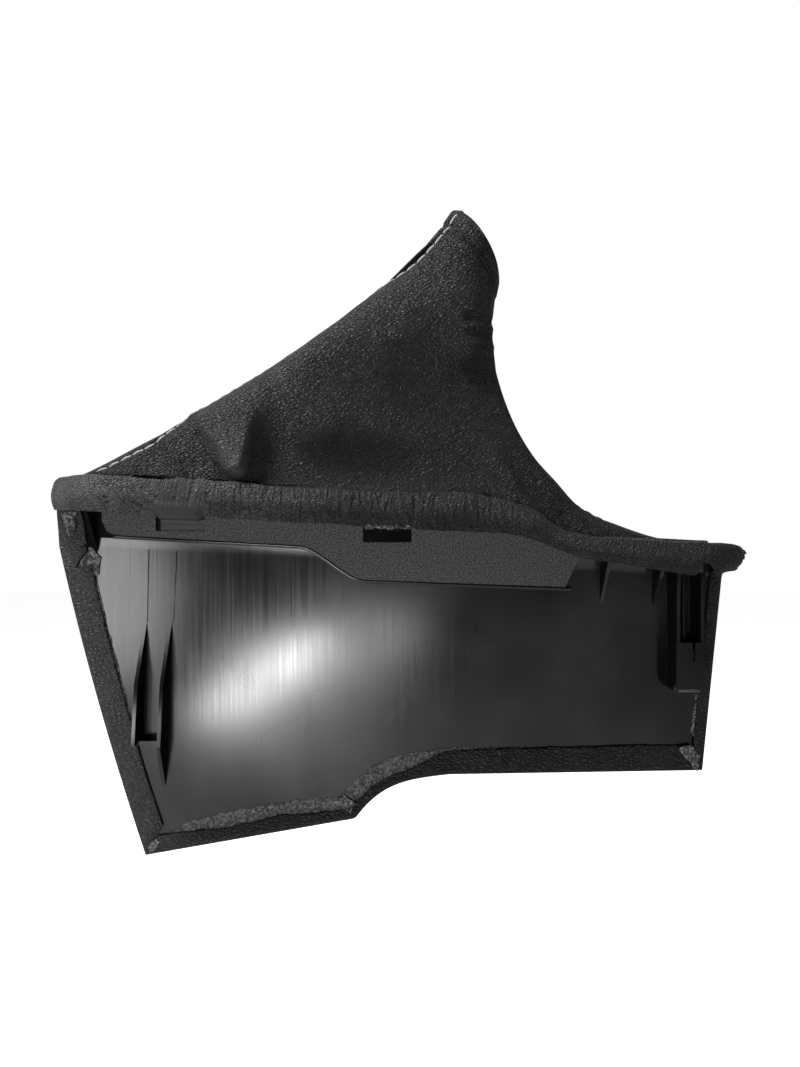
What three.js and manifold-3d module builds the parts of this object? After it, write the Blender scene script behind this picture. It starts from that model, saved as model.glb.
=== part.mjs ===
// A handbrake boot: a moulded plastic base with a leather-covered side panel, and a sewn leather gaiter on its deck.
// Units are millimetres. X runs along the boot, Z is up, and Y points out of the side panel's covered face.
// The origin is on the bare inner face of the side panel, midway along it.
import * as THREE from 'three';
import { mergeVertices } from 'three/addons/utils/BufferGeometryUtils.js';
import Module from 'manifold-3d';

const wasm = await Module();
wasm.setup();

// Sheet thicknesses and the clearance between leather and plastic
const wall = 2.5;
const leather = 1.2;
const gap = 0.3;

// Side panel, seen from its inner face
const panelLength = 341.6;
const shoulderMidZ = 53.8;
const shoulderFall = 16.3;
const leftEdgeRun = 44.5;
const leftEdgeDrop = 159;
const leftEdgeBow = 2.2;
const rightEdgeRun = 9.9;
const rightEdgeDrop = 98.8;
const bottomStepX = -19;
const bottomStepRun = 49.5;
const bottomStepFoot = 133;
const bottomRightDrop = 110;

// Shoulder between the side panel and the deck
const shoulderDepth = 14;
const shoulderFlare = 2;
const deckTuckLeft = 4.5;
const deckReachRight = 3.5;

// Deck, with a step down towards its right end
const bodyDepth = 66;
const deckRiseLeft = 30.5;
const deckStepStartX = 30;
const deckStepEndX = 95;
const deckStepTop = 84;
const deckStepDrop = 20;
const deckFallRight = 4.5;
const endMidInset = 10;
const endCornerInset = 22;
const endStraightInset = 41;
const leverOpeningLeft = 43;
const leverOpeningRight = 95;
const leverOpeningMargin = 12;
const leverOpeningBack = 6;
const leverOpeningRadius = 10;

// Near wall: its bare lower strip and the two slots in it
const skirtLeft = 14;
const skirtStepStartX = 50;
const skirtStepEndX = 90;
const skirtFallRight = 7.2;
const skirtEndRise = 7;
const stripLeft = 44.3;
const stripRight = 86.3;
const stripShallow = 11;
const stripDeep = 23.5;
const stripStepStartX = -40;
const stripStepEndX = -10;
const stripCorner = 7;
const slotWidth = 21.5;
const slotHeight = 6.6;
const slotXs = [-91.8, -0.6];

// Gussets, ribs and the clip tower on the inner face
const ribThickness = 1.8;
const gussetRightInsets = [61.1, 34];
const gussetLeftInset = 18;
const gussetReach = 24;
const gussetDropRight = 16;
const gussetDropLeft = 2;
const channelInset = 43.4;
const channelWidth = 13;
const channelTop = 36.7;
const channelLength = 62;
const channelDepth = 13.5;
const channelTail = 24;
const channelLean = 0.038;
const towerInset = 14.1;
const towerWidth = 13.8;
const towerProud = 1.5;
const towerBottom = 58;
const towerPlateHeight = 25;
const towerSlit = 9;

// Leather hems turned onto the inner face
const hemLeft = 12.7;
const hemBottomLeft = 8;
const hemBottomRight = 11.5;
const hemRight = 5.2;
const hemCut = 7;

// Gaiter
const footInset = 4.5;
const rimInset = 2;
const rimGap = 0.6;
const lip = 1.6;
const skirtBulge = 1.4;
const mouthX = 41;
const mouthRise = 121;
const mouthHalfChord = 18.6;
const mouthHalfWidth = 19.5;
const mouthSlope = 57.5;
const mouthBulge = 2;
const seamGap = 0.8;
const tabWidth = 15;

// Places worked out from the sizes above
const leftX = -panelLength / 2;
const rightX = panelLength / 2;
const nearY = -bodyDepth;
const deckFarY = -shoulderDepth;
const midY = -(bodyDepth + shoulderDepth) / 2 + 2;
const deckLeftX = leftX + deckTuckLeft;
const deckRightX = rightX + deckReachRight;
const sheath = gap + leather;
const towerDepth = shoulderDepth + towerProud;

const mix = THREE.MathUtils.lerp;
const smooth = THREE.MathUtils.smoothstep;

function shoulderZ(x) {
  return shoulderMidZ - (shoulderFall * x) / panelLength;
}

function deckZ(x) {
  const left = shoulderZ(leftX) + deckRiseLeft;
  const before = mix(left, deckStepTop, (x - leftX) / (deckStepStartX - leftX));
  const past = Math.max(0, x - deckStepEndX) / (rightX - deckStepEndX);
  const stepped = deckStepTop - deckStepDrop * smooth(x, deckStepStartX, deckStepEndX);
  return x < deckStepStartX ? before : stepped - deckFallRight * past;
}

// Lower edge of the leather skirt on the near wall
function skirtZ(x) {
  const leftLine = deckZ(deckStepStartX) - skirtLeft - 0.055 * (x - deckStepStartX);
  const rightLine = deckZ(skirtStepEndX) - skirtFallRight - 0.15 * (x - skirtStepEndX)
    + skirtEndRise * smooth(x, rightX - 30, rightX);
  return mix(leftLine, rightLine, smooth(x, skirtStepStartX, skirtStepEndX));
}

// Lower edge of the bare strip below the skirt
function stripZ(x) {
  const shallow = skirtZ(x) - stripShallow;
  const deep = skirtZ(skirtStepStartX) - stripDeep - 0.036 * (x - skirtStepStartX);
  return mix(shallow, deep, smooth(x, stripStepStartX, stripStepEndX));
}

function steps(from, to, count) {
  return Array.from({ length: count + 1 }, (_, i) => mix(from, to, i / count));
}

// Solids

function solidFrom(geometry) {
  const flat = geometry.index ? geometry.toNonIndexed() : geometry;
  const bare = new THREE.BufferGeometry().setAttribute('position', flat.getAttribute('position'));
  const merged = mergeVertices(bare, 1e-4);
  const mesh = new wasm.Mesh({
    numProp: 3,
    vertProperties: merged.attributes.position.array,
    triVerts: new Uint32Array(merged.index.array),
  });
  return new wasm.Manifold(mesh);
}

function meshFrom(name, solid, material) {
  const made = solid.getMesh();
  const geometry = new THREE.BufferGeometry();
  geometry.setAttribute('position', new THREE.BufferAttribute(made.vertProperties, 3));
  geometry.setIndex(new THREE.BufferAttribute(made.triVerts, 1));
  geometry.computeVertexNormals();
  const mesh = new THREE.Mesh(geometry, material);
  mesh.name = name;
  return mesh;
}

function join(solids) {
  return solids.reduce((whole, next) => whole.add(next));
}

// A prism along Y, from an outline in X and Z
function prismAlongY(points, lowY, highY) {
  const shape = new THREE.Shape(points.map(([x, z]) => new THREE.Vector2(x, z)));
  const geometry = new THREE.ExtrudeGeometry(shape, { depth: highY - lowY, bevelEnabled: false });
  return solidFrom(geometry.rotateX(Math.PI / 2).translate(0, highY, 0));
}

// A prism along Z, from an outline in X and Y
function prismAlongZ(points, lowZ, highZ) {
  const shape = new THREE.Shape(points.map(([x, y]) => new THREE.Vector2(x, y)));
  const geometry = new THREE.ExtrudeGeometry(shape, { depth: highZ - lowZ, bevelEnabled: false });
  return solidFrom(geometry.translate(0, 0, lowZ));
}

// A rib: an outline in Y and Z, with a thickness along X
function ribAt(x, points, thickness = ribThickness) {
  const shape = new THREE.Shape(points.map(([y, z]) => new THREE.Vector2(y, z)));
  const geometry = new THREE.ExtrudeGeometry(shape, { depth: thickness, bevelEnabled: false });
  geometry.applyMatrix4(new THREE.Matrix4().set(0, 0, 1, 0, 1, 0, 0, 0, 0, 1, 0, 0, 0, 0, 0, 1));
  return solidFrom(geometry.translate(x - thickness / 2, 0, 0));
}

function box(lowX, highX, lowY, highY, lowZ, highZ) {
  return prismAlongZ([[lowX, lowY], [highX, lowY], [highX, highY], [lowX, highY]], lowZ, highZ);
}

// A closed sheet between two grids of points, each grid being rows of equal length
function sheetBetween(inner, outer) {
  const rows = inner.length;
  const columns = inner[0].length;
  const positions = [];
  const quad = (a, b, c, d) => [a, b, c, a, c, d].forEach((p) => positions.push(p.x, p.y, p.z));
  for (let i = 0; i + 1 < rows; i += 1) {
    for (let j = 0; j + 1 < columns; j += 1) {
      quad(outer[i][j], outer[i][j + 1], outer[i + 1][j + 1], outer[i + 1][j]);
      quad(inner[i][j], inner[i + 1][j], inner[i + 1][j + 1], inner[i][j + 1]);
    }
    quad(inner[i][0], outer[i][0], outer[i + 1][0], inner[i + 1][0]);
    const last = columns - 1;
    quad(inner[i][last], inner[i + 1][last], outer[i + 1][last], outer[i][last]);
  }
  for (let j = 0; j + 1 < columns; j += 1) {
    quad(inner[0][j], inner[0][j + 1], outer[0][j + 1], outer[0][j]);
    const last = rows - 1;
    quad(inner[last][j], outer[last][j], outer[last][j + 1], inner[last][j + 1]);
  }
  const geometry = new THREE.BufferGeometry();
  geometry.setAttribute('position', new THREE.Float32BufferAttribute(positions, 3));
  return solidFrom(geometry);
}

// A grid moved along its own normals, by a distance that may differ from row to row
function raised(grid, distance) {
  return grid.map((row, i) => row.map((point, j) => {
    const across = row[Math.min(j + 1, row.length - 1)].clone().sub(row[Math.max(j - 1, 0)]);
    const along = grid[Math.min(i + 1, grid.length - 1)][j].clone().sub(grid[Math.max(i - 1, 0)][j]);
    const normal = across.cross(along).normalize();
    return point.clone().addScaledVector(normal, distance(i));
  }));
}

// Base moulding

// Shares of the length at which the side panel, shoulder and deck are sampled
const stepStart = (bottomStepX - leftX - leftEdgeRun) / (panelLength - leftEdgeRun - rightEdgeRun);
const stepEnd = stepStart + bottomStepRun / (panelLength - leftEdgeRun - rightEdgeRun);
const deckStart = (deckStepStartX - leftX) / panelLength;
const deckEnd = (deckStepEndX - leftX) / panelLength;
const shares = [...steps(0, stepStart, 4), ...steps(stepStart, stepEnd, 6).slice(1), ...steps(deckStart, deckEnd, 7),
  ...steps(deckEnd, 1, 4).slice(1)];

// The side panel's lower edge: a slant, an S-shaped step up, and a level run
function bottomPoint(share) {
  const x = mix(leftX + leftEdgeRun, rightX - rightEdgeRun, share);
  const leftFoot = shoulderZ(leftX) - leftEdgeDrop;
  const stepFoot = shoulderZ(bottomStepX) - bottomStepFoot;
  const stepTop = shoulderZ(bottomStepX) - bottomRightDrop;
  const rightFoot = shoulderZ(rightX) - rightEdgeDrop;
  if (share <= stepStart) return [x, mix(leftFoot, stepFoot, share / stepStart)];
  if (share >= stepEnd) return [x, mix(stepTop, rightFoot, (share - stepEnd) / (1 - stepEnd))];
  const along = (share - stepStart) / (stepEnd - stepStart);
  return [x, mix(stepFoot, stepTop, 0.75 * (1 - (1 - along) ** 3.6) + 0.25 * along)];
}

// A point on the shoulder: turn is 0 at the panel and 1 at the deck, and out is measured from the inner skin
function shoulderPoint(x, turn, out) {
  const angle = (turn * Math.PI) / 2;
  const rise = deckZ(x) - wall - shoulderZ(x) + out;
  const y = out - (shoulderDepth + out) * (1 - Math.cos(angle));
  return new THREE.Vector3(x, y, shoulderZ(x) + rise * Math.sin(angle));
}

function shoulderLeft(turn) {
  return mix(leftX, deckLeftX, turn) - shoulderFlare * Math.sin(turn * Math.PI);
}

function shoulderRight(turn) {
  return mix(rightX, deckRightX, turn);
}

// Rows of points up the panel, with each edge moved outwards by the distance given for it
function panelRows(out, edge, ups) {
  return ups.map((up) => shares.map((share) => {
    const [footX, footZ] = bottomPoint(share);
    const spread = mix(-edge.left, edge.right, share);
    const headX = mix(leftX, rightX, share);
    const bow = 4 * leftEdgeBow * up * (1 - up) * (1 - share) ** 2;
    const low = footZ - mix(edge.bottomLeft, edge.bottomRight, smooth(share, stepStart, stepEnd));
    const slant = (low - footZ) * mix(-leftEdgeRun / leftEdgeDrop, rightEdgeRun / rightEdgeDrop, share);
    return new THREE.Vector3(mix(footX + slant, headX, up) + spread - bow, out, mix(low, shoulderZ(headX + spread), up));
  }));
}

function shoulderRow(turn, out, edge) {
  const left = shoulderLeft(turn) - edge.left;
  const right = shoulderRight(turn) + edge.right;
  return shares.map((share) => shoulderPoint(mix(left, right, share), turn, out));
}

// The deck's row at a depth y, on the same skin as the shoulder's last row
function deckRow(y, out, edge) {
  return shoulderRow(1, out, edge).map((p) => p.setY(y));
}

function even(distance) {
  return { left: distance, right: distance, bottomLeft: distance, bottomRight: distance };
}

const turns = steps(0, 1, 8);

// A shell over panel and shoulder between two skins, carried on over the deck to the depth lastY
function shell(lowOut, highOut, edge, lastY, ups = [0, 0.33, 0.67], bends = turns) {
  const skin = (out) => [...panelRows(out, edge, ups), ...bends.map((turn) => shoulderRow(turn, out, edge)),
    deckRow(lastY, out, edge)];
  return sheetBetween(skin(highOut), skin(lowOut));
}

// The deck's plan: its near half runs from the middle of the left end to the middle of the right end
const leftMid = [deckLeftX + endMidInset, midY];
const rightMid = [deckRightX - endMidInset, midY];

function nearPath() {
  return new THREE.Path()
    .moveTo(...leftMid)
    .quadraticCurveTo(deckLeftX + endCornerInset, nearY, deckLeftX + endStraightInset, nearY)
    .lineTo(deckRightX - endStraightInset, nearY)
    .quadraticCurveTo(deckRightX - endCornerInset + 2, nearY, ...rightMid);
}

function endPath(corner, mid) {
  const bend = [mix(corner[0], mid[0], 0.4), mix(corner[1], mid[1], 0.5)];
  return new THREE.Path().moveTo(...corner).quadraticCurveTo(...bend, ...mid);
}

const leftEnd = endPath([deckLeftX - gap, deckFarY], leftMid);
const rightEnd = endPath([deckRightX + gap, deckFarY], rightMid);
const nearEdge = nearPath();

// A place on the deck's edge, from 0 at the far left corner to 1 at the far right corner, with its outward direction
const endShare = 0.08;

function edgeAt(share) {
  let curve = nearEdge;
  let along = (share - endShare) / (1 - 2 * endShare);
  if (share < endShare) {
    curve = leftEnd;
    along = share / endShare;
  } else if (share > 1 - endShare) {
    curve = rightEnd;
    along = (1 - share) / endShare;
  }
  const point = curve.getPointAt(THREE.MathUtils.clamp(along, 0, 1));
  const tangent = curve.getTangentAt(THREE.MathUtils.clamp(along, 0, 1));
  const side = curve === rightEnd ? -1 : 1;
  return { point, outward: new THREE.Vector2(side * tangent.y, -side * tangent.x) };
}

function edgeShares() {
  const nearShares = steps(endShare, 1 - endShare, 44);
  return [...steps(0, endShare, 4).slice(0, -1), ...nearShares, ...steps(1 - endShare, 1, 4).slice(1)];
}

function planLoop(out) {
  return edgeShares().map((share) => {
    const { point, outward } = edgeAt(share);
    return [point.x + outward.x * out, point.y + outward.y * out];
  });
}

function roundedOpening() {
  const low = [leftX + leverOpeningLeft, nearY + leverOpeningMargin];
  const high = [rightX - leverOpeningRight, deckFarY - leverOpeningBack];
  const r = leverOpeningRadius;
  const shape = new THREE.Path().moveTo(low[0] + r, low[1]).lineTo(high[0] - r, low[1]);
  shape.absarc(high[0] - r, low[1] + r, r, -Math.PI / 2, 0).absarc(high[0] - r, high[1] - r, r, 0, Math.PI / 2);
  shape.absarc(low[0] + r, high[1] - r, r, Math.PI / 2, Math.PI);
  shape.absarc(low[0] + r, low[1] + r, r, Math.PI, Math.PI * 1.5);
  const points = shape.getPoints(5).map((p) => [p.x, p.y]);
  return points.filter(([x, y], i) => {
    const [nextX, nextY] = points[(i + 1) % points.length];
    return Math.hypot(nextX - x, nextY - y) > 0.01;
  });
}

const topZ = deckZ(leftX) + 20;
const underZ = shoulderZ(rightX) - 40;

// Everything outside the deck's plan, on the near side of the shoulder
function outsidePlan() {
  const far = [[deckRightX + gap, deckFarY + 5], [deckLeftX - gap, deckFarY + 5]];
  const block = box(leftX - 20, rightX + 20, nearY - 20, deckFarY, underZ, topZ);
  return block.subtract(prismAlongZ([...planLoop(0), ...far], underZ - 1, topZ + 1));
}

// The near wall and ends: a band that hangs from the deck, with a stepped bare strip along its lower edge
function nearWall() {
  const inner = [...planLoop(-wall), [rightX, deckFarY + 5], [leftX, deckFarY + 5]];
  const ring = prismAlongZ(planLoop(0), underZ, topZ).subtract(prismAlongZ(inner, underZ - 1, topZ + 1));
  const left = leftX + stripLeft;
  const right = rightX - stripRight;
  const stripXs = [...steps(left + stripCorner, stripStepStartX, 3), ...steps(stripStepStartX, stripStepEndX, 6).slice(1),
    ...steps(stripStepEndX, right - stripCorner, 3).slice(1)];
  const outline = [
    ...steps(leftX - 10, left, 2).map((x) => [x, skirtZ(x) + 0.5]),
    [left, stripZ(left) + stripCorner], [left + stripCorner * 0.3, stripZ(left) + stripCorner * 0.3],
    ...stripXs.map((x) => [x, stripZ(x)]),
    ...steps(right, rightX + 10, 4).map((x) => [x, skirtZ(x) + 0.5]),
    ...[1, ...[...shares].reverse(), 0].map((share) => mix(leftX - 10, rightX + 10, share))
      .filter((x, i, all) => i === 0 || x < all[i - 1] - 0.5).map((x) => [x, deckZ(x) - wall / 2]),
  ];
  return ring.intersect(prismAlongY(outline, nearY - 5, deckFarY - 1));
}

function slotCuts() {
  return join(slotXs.map((x) => {
    const top = skirtZ(x) - 0.4;
    return box(x - slotWidth / 2, x + slotWidth / 2, nearY - 2, nearY + wall + 2, top - slotHeight, top);
  }));
}

// The middle of the shoulder's wall at one place along the length, in Y and Z from the panel to the deck
function underShoulder(x) {
  return steps(0, 1, 4).map((turn) => shoulderPoint(x, turn, wall / 2)).map((p) => [p.y, p.z]);
}

// A triangular gusset between the panel and the underside of the deck
function gusset(x, drop) {
  const top = deckZ(x) - wall / 2;
  return ribAt(x, [[wall / 2, shoulderZ(x) - drop], ...underShoulder(x), [-gussetReach, top], [0, shoulderZ(x) - drop]]);
}

function gussets() {
  const right = gussetRightInsets.map((inset) => gusset(rightX - inset, gussetDropRight));
  return join([...right, gusset(leftX + gussetLeftInset, gussetDropLeft)]);
}

// Two tall ribs on the panel, with a cross wall at their foot
function ribChannel() {
  const x = leftX + channelInset;
  const top = shoulderZ(x) - channelTop;
  const foot = top - channelLength;
  const bend = top - channelLength / 2;
  const inWall = wall / 2;
  const outline = [[inWall, top], [0, top], [-channelDepth * 0.9, bend], [-channelDepth, foot], [inWall, foot]];
  const tailed = [[inWall, top], [0, top], [-channelDepth * 0.9, bend], [-channelDepth, foot],
    [-channelDepth, foot - 2], [0, foot - channelTail], [inWall, foot - channelTail]];
  const cross = box(x, x + channelWidth, -channelDepth * 0.7, inWall, foot, foot + ribThickness);
  const upright = join([ribAt(x, outline), ribAt(x + channelWidth, tailed), cross]);
  const lean = channelLean;
  return upright.transform([1, 0, 0, 0, 0, 1, 0, 0, lean, 0, 1, 0, -lean * top, 0, 0, 1]);
}

// A hollow tower for a fixing clip: two fins with a plate across their lower half
function clipTower() {
  const right = rightX - towerInset;
  const left = right - towerWidth + ribThickness;
  const foot = shoulderZ(left) - towerBottom;
  const fin = (x) => {
    const top = deckZ(x) - wall / 2;
    return ribAt(x, [[wall / 2, foot], [-towerDepth * 0.65, foot], [-towerDepth, foot + 10],
      [-towerDepth, top - 20], [-towerDepth - 1.5, top - 12], [-towerDepth, top], ...underShoulder(x).reverse()]);
  };
  const plateTop = foot + towerPlateHeight;
  const plate = towerPlate(left, right, foot, plateTop);
  const slitX = mix(left, right, 0.62);
  const slit = box(slitX - 0.6, slitX + 0.6, -towerDepth - 1, -towerDepth + ribThickness + 1, plateTop - towerSlit, plateTop + 1);
  const middle = (left + right) / 2;
  const rib = ribAt(middle, [[wall / 2, plateTop], [-towerDepth * 0.35, plateTop], [-towerDepth * 0.35, shoulderZ(middle)],
    [wall / 2, shoulderZ(middle)]], 1.2);
  const button = box(middle - 1.2, middle + 1.2, -towerDepth - 0.8, -towerDepth + 1, plateTop - 8, plateTop - 3.5);
  return join([fin(left), fin(right), rib, plate.subtract(slit), button]);
}

// The tower's plate, with a chamfered lower corner
function towerPlate(left, right, foot, top) {
  const chamfer = 3;
  const wide = ribThickness / 2 + 0.4;
  const outline = [[left - wide, top], [left - wide, foot + chamfer], [left - wide + chamfer, foot - 1],
    [right + wide, foot - 1], [right + wide, top]];
  return prismAlongY(outline, -towerDepth - 0.5, -towerDepth + ribThickness);
}

function baseMoulding() {
  const skin = shell(0, wall, even(0), nearY - 5).subtract(outsidePlan()).add(nearWall());
  const opening = prismAlongZ(roundedOpening(), underZ, topZ);
  return join([skin.subtract(opening), gussets(), ribChannel(), clipTower()]).subtract(slotCuts());
}

// Leather over the side panel and shoulder, turned round the edges onto the inner face

const coverSeamY = deckFarY - footInset + lip + leather + seamGap;

function sideCover() {
  const outer = shell(-sheath, wall + sheath, even(sheath), coverSeamY);
  const core = shell(-gap, wall + gap, even(gap), coverSeamY - 2);
  const hems = { left: -hemLeft, right: -hemRight, bottomLeft: -hemBottomLeft, bottomRight: -hemBottomRight };
  const window = shell(-sheath - 1, wall / 2, hems, coverSeamY - 3, [0, 0.5], steps(0.05, 0.98, 7));
  return outer.subtract(core).subtract(window).subtract(hemNotch());
}

// A relief cut in the left hem, just below the shoulder
function hemNotch() {
  const z = shoulderZ(leftX) - 10;
  const x = leftX + hemLeft + 4;
  const outline = [[x + 3, z + 4], [x - hemCut, z - 5], [x + 5, z - 6.5]];
  return prismAlongY(outline, -sheath - 1, -gap / 2);
}

// Gaiter

// Closed guide loops, each with twelve keys: key 0 is the front spine, key 6 the rear seam, and 7 to 11 the far side
const guideKeys = 12;

function guideLoop(half) {
  const near = half.map(([x, y, z]) => new THREE.Vector3(x, midY + y, z));
  const far = half.slice(1, -1).reverse().map(([x, y, z]) => new THREE.Vector3(x, midY - y, z));
  return new THREE.CatmullRomCurve3([...near, ...far], true, 'centripetal');
}

function guideAt(curve, around) {
  return curve.getPoint(THREE.MathUtils.euclideanModulo(around, 1));
}

const mouthZ = deckStepTop + mouthRise;
const halfDepth = (bodyDepth - shoulderDepth) / 2;
const lowerHalf = [
  [leftX + 76, 0, deckZ(leftX) + 30],
  [leftX + 72, -0.5 * halfDepth, deckZ(leftX) + 21],
  [leftX + 120, -0.42 * halfDepth, deckStepTop + 34],
  [leftX + 172, -0.38 * halfDepth, deckStepTop + 36],
  [rightX - 122, -0.42 * halfDepth, deckStepTop + 20],
  [rightX - 92, -0.58 * halfDepth, deckZ(deckStepEndX) + 6],
  [rightX - 100, 0, deckZ(deckStepEndX) + 1],
];
const upperHalf = [
  [mouthX - 35, 0, mouthZ - 33],
  [mouthX - 38, -0.36 * halfDepth, mouthZ - 29],
  [mouthX - 29, -0.55 * halfDepth, mouthZ - 37],
  [mouthX - 19, -0.62 * halfDepth, mouthZ - 46],
  [mouthX - 9, -0.6 * halfDepth, mouthZ - 60],
  [mouthX - 8, -0.36 * halfDepth, mouthZ - 76],
  [mouthX - 7, 0, mouthZ - 82],
];
const lowerGuide = guideLoop(lowerHalf);
const upperGuide = guideLoop(upperHalf);

// The mouth is an oval in a slanted plane, with its near and far sides bulged outwards
function mouthPoint(around) {
  const angle = around * 2 * Math.PI;
  const slope = THREE.MathUtils.degToRad(mouthSlope);
  const along = -mouthHalfChord * Math.cos(angle);
  const bulge = mouthBulge * Math.sin(angle) ** 2;
  return new THREE.Vector3(
    mouthX + along * Math.cos(slope) + bulge * Math.sin(slope),
    midY - mouthHalfWidth * Math.sin(angle),
    mouthZ - along * Math.sin(slope) + bulge * Math.cos(slope),
  );
}

// The foot follows the deck's edge on the near side and ends, and a smooth line along the far side
const farFoot = new THREE.CatmullRomCurve3(farFootKeys(), false, 'centripetal');

function farFootKeys() {
  const y = deckFarY - footInset;
  const xs = steps(deckRightX - footInset - 26, deckLeftX + footInset + 26, 8);
  const ends = [inwards(1 - endShare), inwards(endShare)];
  return [ends[0], new THREE.Vector3(deckRightX - footInset - 13, y - 5, 0), ...xs.map((x) => new THREE.Vector3(x, y, 0)),
    new THREE.Vector3(deckLeftX + footInset + 13, y - 5, 0), ends[1]];
}

function inwards(share, by = footInset) {
  const { point, outward } = edgeAt(share);
  return new THREE.Vector3(point.x - outward.x * by, point.y - outward.y * by, 0);
}

function nearShare(around) {
  return mix(endShare, 1 - endShare, THREE.MathUtils.clamp(around * 2, 0, 1));
}

function footPoint(around, out = 0) {
  const wrapped = THREE.MathUtils.euclideanModulo(around, 1);
  if (wrapped <= 0.5) {
    const p = inwards(nearShare(wrapped), footInset - out);
    return p.setZ(deckZ(p.x) + gap);
  }
  const along = (wrapped - 0.5) * 2;
  const tangent = farFoot.getTangentAt(along);
  const p = farFoot.getPointAt(along).add(new THREE.Vector3(-tangent.y, tangent.x, 0).multiplyScalar(-out));
  const lap = 1 - smooth(Math.min(along, 1 - along), 0.04, 0.2);
  return p.setZ(deckZ(p.x) + gap + (leather + 3 * rimGap + gap) * lap);
}

function bellowsPoint(around, rise) {
  const foot = footPoint(around);
  const curve = new THREE.CubicBezierCurve3(foot, guideAt(lowerGuide, around), guideAt(upperGuide, around), mouthPoint(around));
  return curve.getPoint(rise);
}

const rises = [0.03, 0.08, 0.15, 0.23, 0.31, 0.39, 0.47, 0.55, 0.63, 0.71, 0.79, 0.86, 0.92, 0.96, 1];

// Skirt over the deck's rim: from its lower edge up to the rim's top, at a place on the deck's edge
function skirtColumn(share) {
  const { point, outward } = edgeAt(share);
  const at = (out, z) => new THREE.Vector3(point.x + outward.x * out, point.y + outward.y * out, z);
  const top = deckZ(point.x);
  const low = skirtZ(point.x);
  const bulged = (part) => rimGap + skirtBulge * part;
  return [at(bulged(0), low), at(bulged(0.7), mix(low, top, 0.25)), at(bulged(1), mix(low, top, 0.55)),
    at(bulged(0.5), top - 2), at(0.2, top + 1.2), at(-rimInset, top + rimGap)];
}

function grid(columns) {
  return columns[0].map((_, i) => columns.map((column) => column[i]));
}

// The near side: a skirt over the rim, then the bellows up to the mouth, with a doubled hem at the mouth
function nearSide() {
  const arounds = steps(0.0015, 0.4985, 38);
  const columns = arounds.map((around) => [
    ...skirtColumn(mix(0.012, 0.988, around * 2)), ...rises.map((rise) => bellowsPoint(around, rise))]);
  return hemmedSheet(grid(columns)).add(slotTab());
}

function hemmedSheet(inner) {
  const top = inner.length - 1;
  return sheetBetween(inner, raised(inner, (i) => (i >= top - 1 ? leather * 1.8 : leather)));
}

// A tab of the skirt, turned through the left slot
function slotTab() {
  const x = slotXs[0];
  const low = skirtZ(x);
  const outY = nearY - rimGap - leather;
  const outline = [[outY + 0.1, low + 1], [outY + 0.1, low - 2.6], [nearY + wall + 3, low - 2.6],
    [nearY + wall + 3, low - 2.6 + leather], [nearY - rimGap + 0.1, low - 2.6 + leather], [nearY - rimGap + 0.1, low + 1]];
  return ribAt(x, outline, tabWidth);
}

// The far side: a short lip on the deck, then the bellows up to the mouth
function farSide() {
  const arounds = steps(0.5 + 0.0025, 1 - 0.0025, 34);
  const columns = arounds.map((around) => [
    footPoint(around, lip), ...rises.map((rise) => bellowsPoint(around, rise))]);
  return hemmedSheet(grid(columns));
}

const plastic = new THREE.MeshStandardMaterial({ color: 0x1b1b1c, roughness: 0.35, metalness: 0 });
const coverHide = new THREE.MeshStandardMaterial({ color: 0x1d1d1e, roughness: 0.6, metalness: 0 });
const gaiterHide = new THREE.MeshStandardMaterial({ color: 0x202021, roughness: 0.6, metalness: 0 });

const boot = new THREE.Group();
boot.add(
  meshFrom('base_moulding', baseMoulding(), plastic),
  meshFrom('side_cover', sideCover(), coverHide),
  meshFrom('gaiter_near_side', nearSide(), gaiterHide),
  meshFrom('gaiter_far_side', farSide(), gaiterHide),
);

export default boot;
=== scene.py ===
import math

import bmesh
import bpy
import numpy as np
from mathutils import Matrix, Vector


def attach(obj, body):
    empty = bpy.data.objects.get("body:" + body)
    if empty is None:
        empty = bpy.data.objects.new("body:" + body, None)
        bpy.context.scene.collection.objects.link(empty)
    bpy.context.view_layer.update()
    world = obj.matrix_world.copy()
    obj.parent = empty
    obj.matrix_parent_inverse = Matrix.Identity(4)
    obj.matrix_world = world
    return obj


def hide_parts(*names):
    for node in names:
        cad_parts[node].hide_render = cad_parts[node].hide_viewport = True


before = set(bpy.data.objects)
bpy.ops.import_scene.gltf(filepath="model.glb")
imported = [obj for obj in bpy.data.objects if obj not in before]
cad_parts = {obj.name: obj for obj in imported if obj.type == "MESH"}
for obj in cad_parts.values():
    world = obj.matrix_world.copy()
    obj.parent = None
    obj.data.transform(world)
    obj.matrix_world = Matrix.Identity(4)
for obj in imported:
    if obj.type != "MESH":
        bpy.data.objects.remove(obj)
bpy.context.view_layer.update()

# Lengths below are in millimetres. Meshes are made in metres.
MM = 0.001

# Sizes shared with the part's source
WALL = 2.5
LEATHER = 1.2
GAP = 0.3
SHEATH = GAP + LEATHER
PANEL_LENGTH = 341.6
SHOULDER_MID_Z = 53.8
SHOULDER_FALL = 16.3
LEFT_EDGE_RUN = 44.5
LEFT_EDGE_DROP = 159
LEFT_EDGE_BOW = 2.2
RIGHT_EDGE_RUN = 9.9
RIGHT_EDGE_DROP = 98.8
STEP_X = -19
STEP_RUN = 49.5
STEP_FOOT = 133
BOTTOM_RIGHT_DROP = 110
SHOULDER_DEPTH = 14
SHOULDER_FLARE = 2
DECK_TUCK_LEFT = 4.5
DECK_REACH_RIGHT = 3.5
BODY_DEPTH = 66
DECK_RISE_LEFT = 30.5
DECK_STEP_START = 30
DECK_STEP_END = 95
DECK_STEP_TOP = 84
DECK_STEP_DROP = 20
DECK_FALL_RIGHT = 4.5
END_MID_INSET = 10
END_CORNER_INSET = 22
END_STRAIGHT_INSET = 41
SKIRT_LEFT = 14
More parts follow.
